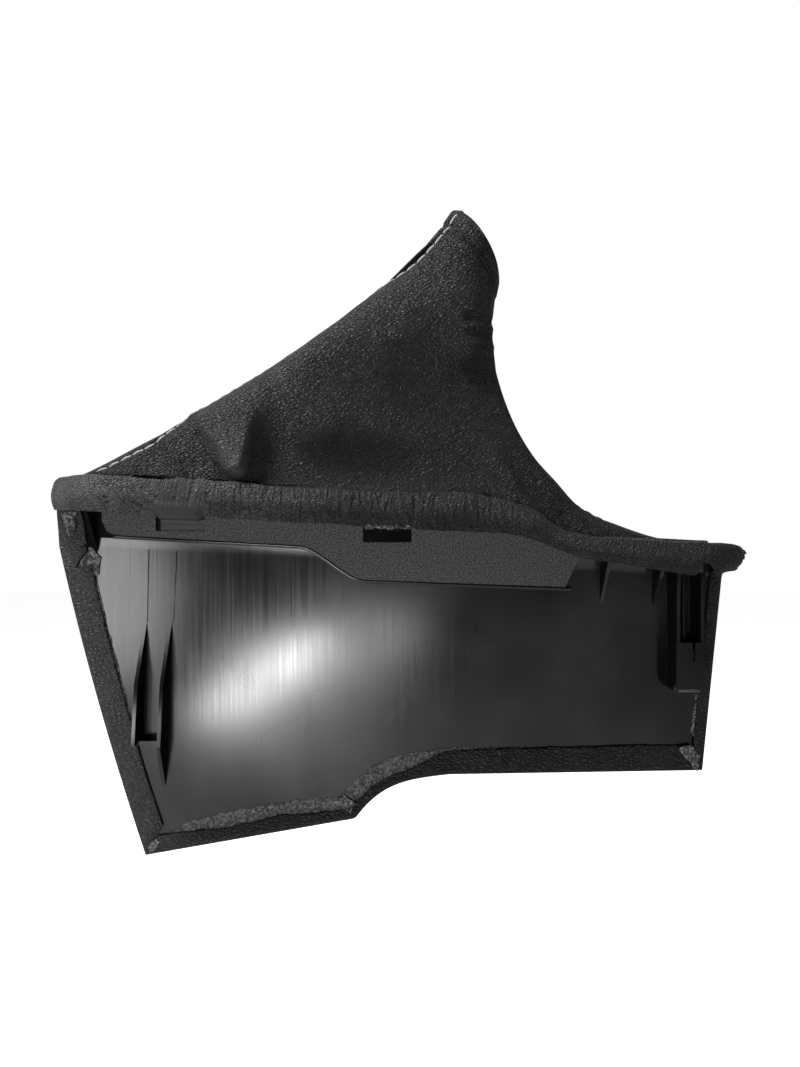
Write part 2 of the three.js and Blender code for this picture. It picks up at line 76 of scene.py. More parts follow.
SKIRT_STEP_START = 50
SKIRT_STEP_END = 90
SKIRT_FALL_RIGHT = 7.2
SKIRT_END_RISE = 7
SKIRT_END_RUN = 30
SKIRT_SLOPE_LEFT = 0.055
SKIRT_SLOPE_RIGHT = 0.15
FOOT_INSET = 4.5
RIM_GAP = 0.6
SKIRT_BULGE = 1.4
LIP = 1.6
SEAM_GAP = 0.8
MOUTH_X = 41
MOUTH_RISE = 121
MOUTH_HALF_CHORD = 18.6
MOUTH_HALF_WIDTH = 19.5
MOUTH_SLOPE = math.radians(57.5)
MOUTH_BULGE = 2

LEFT_X = -PANEL_LENGTH / 2
RIGHT_X = PANEL_LENGTH / 2
NEAR_Y = -BODY_DEPTH
DECK_FAR_Y = -SHOULDER_DEPTH
MID_Y = -(BODY_DEPTH + SHOULDER_DEPTH) / 2 + 2
DECK_LEFT_X = LEFT_X + DECK_TUCK_LEFT
DECK_RIGHT_X = RIGHT_X + DECK_REACH_RIGHT
MOUTH_Z = DECK_STEP_TOP + MOUTH_RISE

# The photograph's camera, level and square on to the panel
CAMERA_X = 5.0
CAMERA_Y = -431.0
CAMERA_Z = 68.6
PIXEL = 0.52
CENTRE_PX = (400.0, 533.0)
PHOTO_HEIGHT_PX = 1067
SENSOR = 36


def mix(a, b, t):
    return a + (b - a) * t


def smooth(x, low, high):
    t = np.clip((np.asarray(x, float) - low) / (high - low), 0, 1)
    return t * t * (3 - 2 * t)


def shoulder_z(x):
    return SHOULDER_MID_Z - SHOULDER_FALL * x / PANEL_LENGTH


def deck_z(x):
    x = np.asarray(x, float)
    left = shoulder_z(LEFT_X) + DECK_RISE_LEFT
    before = mix(left, DECK_STEP_TOP, (x - LEFT_X) / (DECK_STEP_START - LEFT_X))
    past = np.maximum(0, x - DECK_STEP_END) / (RIGHT_X - DECK_STEP_END)
    stepped = DECK_STEP_TOP - DECK_STEP_DROP * smooth(x, DECK_STEP_START, DECK_STEP_END)
    return np.where(x < DECK_STEP_START, before, stepped - DECK_FALL_RIGHT * past)


def skirt_z(x):
    left = deck_z(DECK_STEP_START) - SKIRT_LEFT - SKIRT_SLOPE_LEFT * (x - DECK_STEP_START)
    right = deck_z(SKIRT_STEP_END) - SKIRT_FALL_RIGHT - SKIRT_SLOPE_RIGHT * (x - SKIRT_STEP_END)
    right = right + SKIRT_END_RISE * smooth(x, RIGHT_X - SKIRT_END_RUN, RIGHT_X)
    return mix(left, right, smooth(x, SKIRT_STEP_START, SKIRT_STEP_END))


def unit(v):
    return v / np.maximum(np.linalg.norm(v, axis=-1, keepdims=True), 1e-9)


def run_length(points, axis=0):
    """Distance from the first point along a line, or along the rows or columns of a grid."""
    steps = np.linalg.norm(np.diff(points, axis=axis), axis=-1)
    start = np.zeros_like(np.take(steps, [0], axis))
    return np.concatenate([start, np.cumsum(steps, axis=axis)], axis=axis)


def read_points(at, run, points):
    """Points of a line at the distances given along it."""
    return np.stack([np.interp(at, run, points[:, k]) for k in range(points.shape[1])], -1)


class Track:
    """A line of points, read by the share of its length."""

    def __init__(self, points):
        self.points = np.asarray(points, float)
        self.along = run_length(self.points)
        self.length = self.along[-1]

    def at(self, share):
        return read_points(np.clip(np.asarray(share, float), 0, 1) * self.length, self.along, self.points)

    def tangent(self, share):
        step = 0.002
        return unit(self.at(np.clip(share + step, 0, 1)) - self.at(np.clip(share - step, 0, 1)))


def bend(a, b, c, count=40):
    t = np.linspace(0, 1, count)[:, None]
    a, b, c = (np.asarray(p, float) for p in (a, b, c))
    return (1 - t) ** 2 * a + 2 * t * (1 - t) * b + t ** 2 * c


def centripetal(points, t, closed):
    """Centripetal Catmull-Rom through the points, at shares t of its segments."""
    points = np.asarray(points, float)
    count = len(points)
    t = np.asarray(t, float)
    p = t * (count if closed else count - 1)
    i = np.floor(p).astype(int)
    if not closed:
        i = np.minimum(i, count - 2)
    w = (p - i)[..., None]
    if closed:
        a, b, c, d = (points[(i + k) % count] for k in (-1, 0, 1, 2))
    else:
        padded = np.concatenate([[2 * points[0] - points[1]], points, [2 * points[-1] - points[-2]]])
        a, b, c, d = (padded[i + k] for k in (0, 1, 2, 3))
    spans = ((a, b), (b, c), (c, d))
    d0, d1, d2 = (np.maximum(((v - u) ** 2).sum(-1, keepdims=True) ** 0.25, 1e-4) for u, v in spans)
    t1 = ((b - a) / d0 - (c - a) / (d0 + d1) + (c - b) / d1) * d1
    t2 = ((c - b) / d1 - (d - b) / (d1 + d2) + (d - c) / d2) * d1
    return b + t1 * w + (-3 * b + 3 * c - 2 * t1 - t2) * w ** 2 + (2 * b - 2 * c + t1 + t2) * w ** 3


# The deck's edge in plan, from the far left corner round the near side to the far right corner
LEFT_MID = (DECK_LEFT_X + END_MID_INSET, MID_Y)
RIGHT_MID = (DECK_RIGHT_X - END_MID_INSET, MID_Y)
LEFT_CORNER = (DECK_LEFT_X + END_CORNER_INSET, NEAR_Y)
RIGHT_CORNER = (DECK_RIGHT_X - END_CORNER_INSET + 2, NEAR_Y)
near_edge = Track(np.concatenate([
    bend(LEFT_MID, LEFT_CORNER, (DECK_LEFT_X + END_STRAIGHT_INSET, NEAR_Y)),
    bend((DECK_RIGHT_X - END_STRAIGHT_INSET, NEAR_Y), RIGHT_CORNER, RIGHT_MID)]))


def end_track(corner, mid):
    return Track(bend(corner, (mix(corner[0], mid[0], 0.4), mix(corner[1], mid[1], 0.5)), mid))


left_end = end_track((DECK_LEFT_X - GAP, DECK_FAR_Y), LEFT_MID)
right_end = end_track((DECK_RIGHT_X + GAP, DECK_FAR_Y), RIGHT_MID)
END_SHARE = 0.08


def edge_at(share):
    """Points on the deck's edge and its outward directions, for an array of shares."""
    share = np.asarray(share, float)
    along = (share - END_SHARE) / (1 - 2 * END_SHARE)
    point, tangent = near_edge.at(along), near_edge.tangent(along)
    for track, here, flip in ((left_end, share < END_SHARE, 1), (right_end, share > 1 - END_SHARE, -1)):
        s = np.clip(share / END_SHARE if flip > 0 else (1 - share) / END_SHARE, 0, 1)
        point = np.where(here[..., None], track.at(s), point)
        tangent = np.where(here[..., None], flip * track.tangent(s), tangent)
    return point, np.stack([tangent[..., 1], -tangent[..., 0]], -1)


def inward(share, by):
    point, outward = edge_at(share)
    return point - outward * np.asarray(by, float)[..., None]


HALF_DEPTH = (BODY_DEPTH - SHOULDER_DEPTH) / 2
DZ_LEFT = float(deck_z(LEFT_X))
DZ_STEP = float(deck_z(DECK_STEP_END))
# Two loops that guide the gaiter's sides: x, share of half the depth, and z, for the near half
LOWER_GUIDE = [
    (LEFT_X + 76, 0, DZ_LEFT + 30), (LEFT_X + 72, -0.5, DZ_LEFT + 21),
    (LEFT_X + 120, -0.42, DECK_STEP_TOP + 34), (LEFT_X + 172, -0.38, DECK_STEP_TOP + 36),
    (RIGHT_X - 122, -0.42, DECK_STEP_TOP + 20), (RIGHT_X - 92, -0.58, DZ_STEP + 6),
    (RIGHT_X - 100, 0, DZ_STEP + 1)]
UPPER_GUIDE = [
    (MOUTH_X - 35, 0, MOUTH_Z - 33), (MOUTH_X - 38, -0.36, MOUTH_Z - 29),
    (MOUTH_X - 29, -0.55, MOUTH_Z - 37), (MOUTH_X - 19, -0.62, MOUTH_Z - 46),
    (MOUTH_X - 9, -0.6, MOUTH_Z - 60), (MOUTH_X - 8, -0.36, MOUTH_Z - 76),
    (MOUTH_X - 7, 0, MOUTH_Z - 82)]


def guide_loop(half):
    near = [(x, MID_Y + y * HALF_DEPTH, z) for x, y, z in half]
    far = [(x, MID_Y - y * HALF_DEPTH, z) for x, y, z in half[-2:0:-1]]
    return near + far


lower_loop = guide_loop(LOWER_GUIDE)
upper_loop = guide_loop(UPPER_GUIDE)


def mouth_point(around):
    angle = around * 2 * np.pi
    along = -MOUTH_HALF_CHORD * np.cos(angle)
    bulge = MOUTH_BULGE * np.sin(angle) ** 2
    return np.stack([
        MOUTH_X + along * math.cos(MOUTH_SLOPE) + bulge * math.sin(MOUTH_SLOPE),
        MID_Y - MOUTH_HALF_WIDTH * np.sin(angle),
        MOUTH_Z - along * math.sin(MOUTH_SLOPE) + bulge * math.cos(MOUTH_SLOPE)], -1)


def far_foot_track():
    y = DECK_FAR_Y - FOOT_INSET
    left, right = DECK_LEFT_X + FOOT_INSET, DECK_RIGHT_X - FOOT_INSET
    straight = [(x, y) for x in np.linspace(right - 26, left + 26, 9)]
    ends = inward(np.array([1 - END_SHARE, END_SHARE]), np.array([FOOT_INSET, FOOT_INSET]))
    keys = [tuple(ends[0]), (right - 13, y - 5), *straight, (left + 13, y - 5), tuple(ends[1])]
    return Track(centripetal(keys, np.linspace(0, 1, 400), False))


far_foot = far_foot_track()


def foot_point(around):
    wrapped = np.mod(around, 1)
    near = wrapped <= 0.5
    share = mix(END_SHARE, 1 - END_SHARE, np.clip(wrapped * 2, 0, 1))
    near_foot = inward(share, np.full(np.shape(share), FOOT_INSET))
    p = np.where(near[..., None], near_foot, far_foot.at((wrapped - 0.5) * 2))
    return np.concatenate([p, (deck_z(p[..., 0]) + GAP)[..., None]], -1)


def bellows_point(around, rise):
    """The smooth gaiter, from its foot at rise 0 to its mouth at rise 1."""
    around, rise = np.broadcast_arrays(np.asarray(around, float), np.asarray(rise, float))
    wrapped = np.mod(around, 1)
    a, d = foot_point(around), mouth_point(around)
    b, c = (centripetal(loop, wrapped, True) for loop in (lower_loop, upper_loop))
    t = rise[..., None]
    return (1 - t) ** 3 * a + 3 * t * (1 - t) ** 2 * b + 3 * t * t * (1 - t) * c + t ** 3 * d


def photo_px(p):
    """Where points in millimetres show in the photograph's frame."""
    k = PIXEL * (p[..., 1] - CAMERA_Y) / -CAMERA_Y
    across = CENTRE_PX[0] + (p[..., 0] - CAMERA_X) / k
    return np.stack([across, CENTRE_PX[1] - (p[..., 2] - CAMERA_Z) / k], -1)


def unproject(px, y):
    """The point at depth y, in millimetres, that shows at a pixel of the photograph."""
    px = np.asarray(px, float)
    k = PIXEL * (y - CAMERA_Y) / -CAMERA_Y
    x = CAMERA_X + (px[..., 0] - CENTRE_PX[0]) * k
    z = CAMERA_Z - (px[..., 1] - CENTRE_PX[1]) * k
    return np.stack([x, np.broadcast_to(y, x.shape), z], -1)


def at_places(places, table):
    """Values at places along a table of places and values."""
    return np.interp(places, *np.array(table).T)


# Noise

def value_noise(p, scale, seed=0):
    """Smooth noise from -1 to 1 at points in millimetres, with cells of the given size."""
    q = np.asarray(p, float) / scale + seed * 17.31
    cell = np.floor(q).astype(np.int64)
    f = q - cell
    f = f * f * (3 - 2 * f)
    total = np.zeros(q.shape[:-1])
    for corner in np.ndindex(*(2,) * q.shape[-1]):
        weight = np.ones(q.shape[:-1])
        h = np.full(q.shape[:-1], 1013 + seed * 7919, np.int64)
        for k, bit in enumerate(corner):
            weight = weight * (f[..., k] if bit else 1 - f[..., k])
            h = (h * 374761393 + (cell[..., k] + bit) * 668265263) & 0x7FFFFFFF
            h = (h ^ (h >> 13)) * 1274126177 & 0x7FFFFFFF
        total += weight * ((h & 0xFFFF) / 32767.5 - 1)
    return total


def line_noise(x, scale, seed):
    """The same noise along a line."""
    return value_noise(np.stack([x, x * 0], -1), scale, seed)


# Meshes

def new_object(name, data):
    obj = bpy.data.objects.new(name, data)
    bpy.context.scene.collection.objects.link(obj)
    return obj


def smooth_faces(mesh):
    mesh.polygons.foreach_set("use_smooth", np.ones(len(mesh.polygons), bool))


def new_mesh_object(name, verts, faces, uvs=None):
    mesh = bpy.data.meshes.new(name)
    mesh.from_pydata([tuple(v) for v in np.asarray(verts) * MM], [], [tuple(f) for f in faces])
    if uvs is not None:
        layer = mesh.uv_layers.new(name="UVMap")
        loops = np.empty(len(mesh.loops), np.int32)
        mesh.loops.foreach_get("vertex_index", loops)
        layer.data.foreach_set("uv", (np.asarray(uvs)[loops] * MM).astype(np.float32).ravel())
    smooth_faces(mesh)
    mesh.update()
    return new_object(name, mesh)


def keep_modifiers(obj):
    """Turns an object into the plain mesh that its modifiers make."""
    evaluated = obj.evaluated_get(bpy.context.evaluated_depsgraph_get())
    mesh = bpy.data.meshes.new_from_object(evaluated)
    obj.modifiers.clear()
    obj.data = mesh
    mesh.name = obj.name


def put_values(obj, name, values):
    """Stores a number or a vector for each vertex."""
    values = np.asarray(values, np.float32)
    kind, key = ("FLOAT_VECTOR", "vector") if values.ndim == 2 else ("FLOAT", "value")
    obj.data.attributes.new(name, kind, "POINT").data.foreach_set(key, values.ravel())


def grid_normals(p):
    return unit(np.cross(np.gradient(p, axis=1), np.gradient(p, axis=0)))


def grid_uv(p):
    """Distances over the surface, measured across from the middle column and up from the first row."""
    u = run_length(p, 1)
    return np.stack([u - u[:, p.shape[1] // 2][:, None], run_length(p, 0)], -1)


def grid_faces(index):
    """Four-cornered faces between the points of a grid of indices."""
    corners = (index[:-1, :-1], index[:-1, 1:], index[1:, 1:], index[1:, :-1])
    return np.stack(corners, -1).reshape(-1, 4)


def sheet_object(name, outer, thickness, normals=None):
    """A closed sheet below an outer grid of points, with a thickness given per point or for all."""
    rows, cols = outer.shape[:2]
    normals = grid_normals(outer) if normals is None else normals
    inner = outer - normals * (np.zeros((rows, cols)) + thickness)[..., None]
    uv = grid_uv(outer)
    verts = np.concatenate([outer.reshape(-1, 3), inner.reshape(-1, 3)])
    index = np.arange(rows * cols).reshape(rows, cols)
    low = index + rows * cols
    quads = [grid_faces(index), np.roll(grid_faces(low)[:, ::-1], 1, axis=1)]
    borders = ((index[0], low[0]), (index[:, -1], low[:, -1]), (index[-1][::-1], low[-1][::-1]),
               (index[::-1, 0], low[::-1, 0]))
    for top, bottom in borders:
        quads.append(np.stack([top[1:], top[:-1], bottom[:-1], bottom[1:]], -1))
    return new_mesh_object(name, verts, np.concatenate(quads), np.concatenate([uv.reshape(-1, 2)] * 2))


# Materials

def material(name):
    made = bpy.data.materials.new(name)
    made.use_nodes = True
    tree = made.node_tree
    return made, tree, tree.nodes["Principled BSDF"]


def feed(tree, socket, value):
    """Links an output to an input, or sets the input's own value."""
    if isinstance(value, bpy.types.NodeSocket):
        tree.links.new(value, socket)
    else:
        socket.default_value = value


def node(tree, kind, *inputs, **named):
    """A node with its settings, its named inputs, where _ stands for a space, and its first inputs."""
    made = tree.nodes.new(kind)
    for key, value in named.items():
        label = key.replace("_", " ")
        if label in made.inputs:
            feed(tree, made.inputs[label], value)
        else:
            setattr(made, key, value)
    for socket, value in zip(made.inputs, inputs):
        feed(tree, socket, value)
    return made


def calculated(tree, operation, *inputs):
    return node(tree, "ShaderNodeMath", *inputs, operation=operation).outputs[0]


def object_place(tree):
    return node(tree, "ShaderNodeTexCoord").outputs["Object"]


def noise(tree, place, scale, detail, **named):
    made = node(tree, "ShaderNodeTexNoise", Vector=place, Scale=scale, Detail=detail, **named)
    return made.outputs["Fac"]


def spread(tree, value, start, end, low, high, kind="LINEAR"):
    """A value between start and end, brought to between low and high."""
    made = node(tree, "ShaderNodeMapRange", interpolation_type=kind, Value=value, From_Min=start,
                From_Max=end, To_Min=low, To_Max=high)
    return made.outputs["Result"]


def tones(tree, value, *stops):
    """A colour from dark to light, each given with its place on the ramp."""
    made = node(tree, "ShaderNodeValToRGB", Fac=value)
    for element, (position, colour) in zip(made.color_ramp.elements, stops):
        element.position = position
        element.color = (*colour, 1)
    return made.outputs["Color"]


def mixed_colour(tree, share, first, second, blend="MIX"):
    made = node(tree, "ShaderNodeMixRGB", blend_type=blend, Fac=share, Color1=first, Color2=second)
    return made.outputs["Color"]


def mixed_value(tree, share, first, second):
    made = node(tree, "ShaderNodeMix", data_type="FLOAT", Factor=share, A=first, B=second)
    return made.outputs["Result"]


def bumped(tree, height, distance, strength=1.0, **under):
    """The normal of a surface with a height pattern, over another normal where one is given."""
    made = node(tree, "ShaderNodeBump", Height=height, Distance=distance, Strength=strength, **under)
    return made.outputs["Normal"]


def plain_material(name, colour, roughness):
    made, tree, shader = material(name)
    shader.inputs["Base Color"].default_value = (*colour, 1)
    shader.inputs["Roughness"].default_value = roughness
    return made


# Pebbles of the hide are longer than wide, and lean as the front seam does
PEBBLE_TURN = math.radians(-35)
PEBBLE_STRETCH = 0.62
# The paler hide colour that painted highlights are blended towards
HIGHLIGHT_HIDE = (0.105, 0.105, 0.107, 1)


def pebbles(tree, place, grain):
    """The hide's pebbles: their height with pores on them, and how far a place is out of their valleys."""
    warp = node(tree, "ShaderNodeTexNoise", Vector=place, Scale=150.0, Detail=1.0).outputs["Color"]
    bent = mixed_colour(tree, 0.0022, place, warp, "ADD")
    drawn = node(tree, "ShaderNodeMapping", Vector=bent, Rotation=(0, PEBBLE_TURN, 0),
                 Scale=(PEBBLE_STRETCH, 1, 1)).outputs["Vector"]
    cells = node(tree, "ShaderNodeTexVoronoi", feature="DISTANCE_TO_EDGE", Vector=drawn, Scale=1000 / grain)
    from_edge = cells.outputs["Distance"]
    dome = calculated(tree, "SINE", calculated(tree, "MULTIPLY", from_edge, math.pi))
    height = calculated(tree, "MULTIPLY_ADD", noise(tree, place, 2600.0, 2.0), 0.16, dome)
    return height, spread(tree, from_edge, 0.0, 0.16, 0.0, 1.0, "SMOOTHSTEP")


def hide_normal(tree, height):
    """Pebbles, flat where the attribute slick asks for it, with fine creases where creased does."""
    slick, creased, crease_place = (node(tree, "ShaderNodeAttribute", attribute_name=key)
                                    for key in ("slick", "creased", "crease_place"))
    pebbled = calculated(tree, "MULTIPLY_ADD", slick.outputs["Fac"], -1.0, 1.0)
    normal = bumped(tree, height, 0.0009, pebbled)
    folds = noise(tree, crease_place.outputs["Vector"], 1.0, 1.5, Distortion=0.4)
    return bumped(tree, folds, 0.0034, creased.outputs["Fac"], Normal=normal)


def leather_material(name, colour, grain, roughness):
    """Black hide: pebbles with their thin valleys painted darker as shade, and painted paler as a highlight
    where its highlight attribute asks for it.
    """
    made, tree, shader = material(name)
    place = object_place(tree)
    height, proud = pebbles(tree, place, grain)
    dark, light = (tuple(c * level for c in colour) for level in (0.75, 1.3))
    tone = tones(tree, noise(tree, place, 38.0, 5.0), (0.3, dark), (0.7, light))
    # Painted shade: the colour falls to 0.7 of the tone down in the pebbles' valleys
    deep = mixed_colour(tree, 1.0, tone, spread(tree, proud, 0.0, 1.0, 0.7, 1.0), "MULTIPLY")
    # Painted highlight: the hide is blended towards a paler colour where the attribute says it is lit
    painted_highlight = node(tree, "ShaderNodeAttribute", attribute_name="painted_highlight").outputs["Fac"]
    feed(tree, shader.inputs["Base Color"], mixed_colour(tree, painted_highlight, deep, HIGHLIGHT_HIDE))
    feed(tree, shader.inputs["Roughness"], spread(tree, proud, 0.0, 1.0, roughness + 0.12, roughness))
    feed(tree, shader.inputs["Normal"], hide_normal(tree, height))
    shader.inputs["Specular IOR Level"].default_value = 0.4
    return made


def plastic_material():
    """Gloss black with faint upright scratches. The near wall's outer face is grained instead."""
    made, tree, shader = material("black_gloss_plastic")
    place = object_place(tree)
    cloud = noise(tree, place, 16.0, 2.5, Roughness=0.5)
    upright = node(tree, "ShaderNodeMapping", Vector=place, Scale=(900, 900, 14), Rotation=(0, 0.05, 0))
    brush = noise(tree, upright.outputs["Vector"], 1.0, 3.0)
    grit = noise(tree, place, 1500.0, 2.0)
    depth = node(tree, "ShaderNodeSeparateXYZ", Vector=place).outputs["Y"]
    on_wall = calculated(tree, "LESS_THAN", depth, (NEAR_Y + 0.5) * MM)

    haze = spread(tree, cloud, 0.2, 0.75, 0.07, 0.14)
    gloss = calculated(tree, "MULTIPLY_ADD", brush, 0.12, haze)
    feed(tree, shader.inputs["Roughness"], mixed_value(tree, on_wall, gloss, 0.45))
    smudge = tones(tree, cloud, (0.42, (0.003, 0.003, 0.003)), (0.66, (0.020, 0.020, 0.021)))
    speckle = tones(tree, grit, (0.43, (0.008, 0.008, 0.008)), (0.57, (0.075, 0.075, 0.076)))
    feed(tree, shader.inputs["Base Color"], mixed_colour(tree, on_wall, smudge, speckle))
    fine = bumped(tree, brush, 0.0001, 0.12)
    feed(tree, shader.inputs["Normal"], bumped(tree, grit, 0.0005, on_wall, Normal=fine))
    return made


def shade_plastic_material():
    """Painted shade: a near-black, barely reflective finish for the moulding's faces up under the deck and
    on the sides of ribs and gussets, where shade falls.
    """
    made, tree, shader = material("painted_shade_plastic")
    cloud = noise(tree, object_place(tree), 60.0, 4.0)
    feed(tree, shader.inputs["Roughness"], spread(tree, cloud, 0.0, 1.0, 0.6, 0.85))
    shader.inputs["Base Color"].default_value = (0.004, 0.004, 0.0045, 1)
    shader.inputs["Specular IOR Level"].default_value = 0.08
    return made


def uneven_material(name, stops, scale, bump, roughness, **grain):
    """A finish that goes from a dark to a light tone with one noise, which also raises it."""
    made, tree, shader = material(name)
    mottle = noise(tree, object_place(tree), scale, **grain)
    feed(tree, shader.inputs["Base Color"], tones(tree, mottle, *stops))
    feed(tree, shader.inputs["Normal"], bumped(tree, mottle, *bump))
    shader.inputs["Roughness"].default_value = roughness
    return made


def thread_material(name, dark, light):
    return uneven_material(name, ((0.0, dark), (1.0, light)), 900.0, (0.0001, 0.5), 0.7, detail=3.0)


def rough_material(name, dark, light, spots, roughness):
    stops = ((0.46, dark), (0.66, light))
    return uneven_material(name, stops, spots, (0.0005, 0.8), roughness, detail=5.0, Roughness=0.7)


GAITER_LEATHER = leather_material("gaiter_leather", (0.012, 0.012, 0.0125), 1.15, 0.6)
COVER_LEATHER = leather_material("cover_leather", (0.013, 0.013, 0.0135), 1.7, 0.56)
PLASTIC = plastic_material()
SHADE_PLASTIC = shade_plastic_material()
THREAD = thread_material("pale_thread", (0.38, 0.37, 0.35), (0.72, 0.71, 0.68))
DARK_THREAD = thread_material("dark_thread", (0.001, 0.001, 0.001), (0.006, 0.006, 0.006))
GLUE = rough_material("glue_residue", (0.008, 0.008, 0.008), (0.22, 0.22, 0.21), 900.0, 0.35)
RAW_HIDE = rough_material("raw_hide", (0.03, 0.03, 0.03), (0.42, 0.41, 0.39), 700.0, 0.8)
FIBRE = rough_material("hide_fibre", (0.12, 0.12, 0.12), (0.5, 0.49, 0.47), 300.0, 0.7)
# Light grey for the panel's thin lines and the tower's bevel: a painted highlight on black plastic
HIGHLIGHT_LINE = plain_material("panel_line", (0.07, 0.07, 0.07), 0.35)
GLOSS_BEAD = plain_material("gloss_bead", (0.003, 0.003, 0.003), 0.13)


def finish_piece(obj, made):
    """Gives a piece its material, unless its nodes did, and says what it rides on."""
    if made is not None:
        obj.data.materials.clear()
        obj.data.materials.append(made)
    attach(obj, "root")
    return obj


# Folds of the gaiter, placed where they show in the photograph's pixels

# The pinch above the left slot: the lit, three-cornered face that its fold makes
PINCH_TOP, PINCH_FOOT = 404, 474
PINCH_LEFT = (184, 233)
PINCH_RIGHT = (254, 243)
PINCH_HEIGHT = 9.0
# The crest below the front seam, along which the hide is painted paler as a highlight
CREST = [(150, 434), (256, 372), (372, 294), (450, 230)]
# The tension fold that runs down to the right end
TENSION = [(488, 432), (500, 462), (518, 494), (536, 514), (556, 536)]
# Ledge where the leather bends up from the deck at the left end
LEDGE = [(66, 474), (100, 473), (146, 473)]
# Small creases: points, height and width
CREASES = [
    ([(164, 430), (171, 450), (176, 468), (186, 486)], 1.3, 6.0),
    ([(191, 427), (205, 442), (222, 456), (238, 474)], -1.2, 5.0),
    ([(197, 470), (204, 482), (203, 496)], 0.9, 5.0),
    ([(461, 319), (476, 317), (497, 324)], -0.9, 3.5),
    ([(458, 326), (478, 325), (497, 331)], 0.6, 4.0),
    ([(470, 341), (484, 343), (497, 349)], 0.45, 3.5),
    ([(464, 372), (480, 373), (499, 371)], -0.7, 3.0),
    ([(466, 381), (482, 382), (499, 384)], -0.8, 3.0),
    ([(476, 389), (499, 392)], -0.6, 3.0),
    ([(560, 508), (563, 520), (575, 532)], -0.7, 5.0),
    ([(362, 497), (361, 526)], -0.7, 2.2),
    ([(415, 496), (416, 527)], -0.8, 2.2),
]
# Broad hollows and swells: centre, reach and height
SWELLS = [
    ((372, 466), (95, 26), -4.2), ((300, 425), (60, 40), 1.6), ((420, 395), (60, 45), -1.6),
    ((158, 452), (14, 16), -1.4), ((470, 350), (22, 17), 1.1),
    ((590, 505), (36, 18), -1.6), ((440, 300), (30, 34), -1.0),
    ((408, 262), (44, 26), -2.2), ((228, 498), (30, 10), 0.5), ((310, 500), (40, 9), 0.4),
    ((272, 446), (16, 34), -2.4),
]


def to_line(px, line):
    """Distance to a polyline in pixels, its signed side, and the share of the way along it."""
    line = np.asarray(line, float)
    lengths = np.linalg.norm(np.diff(line, axis=0), axis=1)
    starts = np.concatenate([[0], np.cumsum(lengths)])
    best = np.full(px.shape[:-1], 1e9)
    side = np.zeros(px.shape[:-1])
    along = np.zeros(px.shape[:-1])
    for k, length in enumerate(lengths):
        d = (line[k + 1] - line[k]) / length
        r = px - line[k]
        t = np.clip(r @ d, 0, length)
        off = r - t[..., None] * d
        distance = np.linalg.norm(off, axis=-1)
        nearer = distance < best
        best = np.where(nearer, distance, best)
        side = np.where(nearer, np.sign(r[..., 0] * d[1] - r[..., 1] * d[0]), side)
        along = np.where(nearer, (starts[k] + t) / starts[-1], along)
    return best, side, along


def ridge(px, line, height, width, other_width=None, fade=0.2):
    """A ridge along a line: one width on its left side, another on its right."""
    distance, side, along = to_line(px, line)
    width = np.where(side > 0, other_width or width, width)
    ends = smooth(along, -0.001, fade) * (1 - smooth(along, 1 - fade, 1.001))
    return height * ends * np.exp(-(distance / width) ** 2)


def pinch_facet(px):
    """The lit, three-cornered face beside the pinch: flush at its top and proud at its foot."""
    down = (px[..., 1] - PINCH_TOP) / (PINCH_FOOT - PINCH_TOP)
    share = np.clip(down, 0, 1)
    left = mix(PINCH_LEFT[0], PINCH_LEFT[1], share)
    right = mix(PINCH_RIGHT[0], PINCH_RIGHT[1], share)
    across = smooth(px[..., 0], left - 12, left + 6) * (1 - smooth(px[..., 0], right - 3, right + 8))
    return PINCH_HEIGHT * share ** 1.15 * across * (1 - smooth(down, 0.95, 1.12))


def fold_heights(px):
    """How far the near side's leather stands off its smooth shape, in millimetres."""
    out = pinch_facet(px)
    out += ridge(px, TENSION, 2.6, 16, 7.0, 0.25)
    out += ridge(px, LEDGE, 0.5, 4.0, 3.0, 0.3)
    for line, height, width in CREASES:
        out += ridge(px, line, height, width)
    for centre, reach, height in SWELLS:
        r = (px - centre) / reach
        out += height * np.exp(-(r ** 2).sum(-1))
    return out


# Gaiter

# The front seam: rise, and share of the way round
SPINE_SEAM = [(0.0, 0.034), (0.04, 0.038), (0.16, 0.046), (0.24, 0.040), (0.34, 0.018), (0.5, 0.018),
              (0.7, 0.035), (0.8, 0.062), (0.88, 0.094), (1.0, 0.100)]
HEM_DEPTH = 7.5
STITCH_INSET = 2.1
NEAR_COLUMNS = 300
# The far foot's lap over the cover: its reach, and its rows by share of that and rise off the cover
LAP_REACH = 4.4
LAP_ROWS = [(1.0, 1.3), (0.93, 1.95), (0.62, 2.4), (0.34, 2.75), (0.14, 3.2)]
ROLL = (LEATHER * 2 + 0.3) / 2
SLOT_XS = (-91.8, -0.6)
# The cut in the skirt where it turns round the deck's right corner, and the skirt's taper beyond it
RELIEF_X = 139.5
RELIEF_RISE = 6.0
FLAP_RISE = 2.2
TIP_RISE = 5.0
# Where the gaiter's two panels start and end, as shares of the way from the deck to the mouth
FOOT_RISE = 0.035
TOP_RISE = 0.982


def seam_around(rise):
    """Where the front seam runs, as a share of the way round, at each rise."""
    keys = np.array(SPINE_SEAM)
    t = np.linspace(0, 1, 200)
    line = centripetal(keys, t, False)
    return np.interp(rise, line[:, 0], line[:, 1])


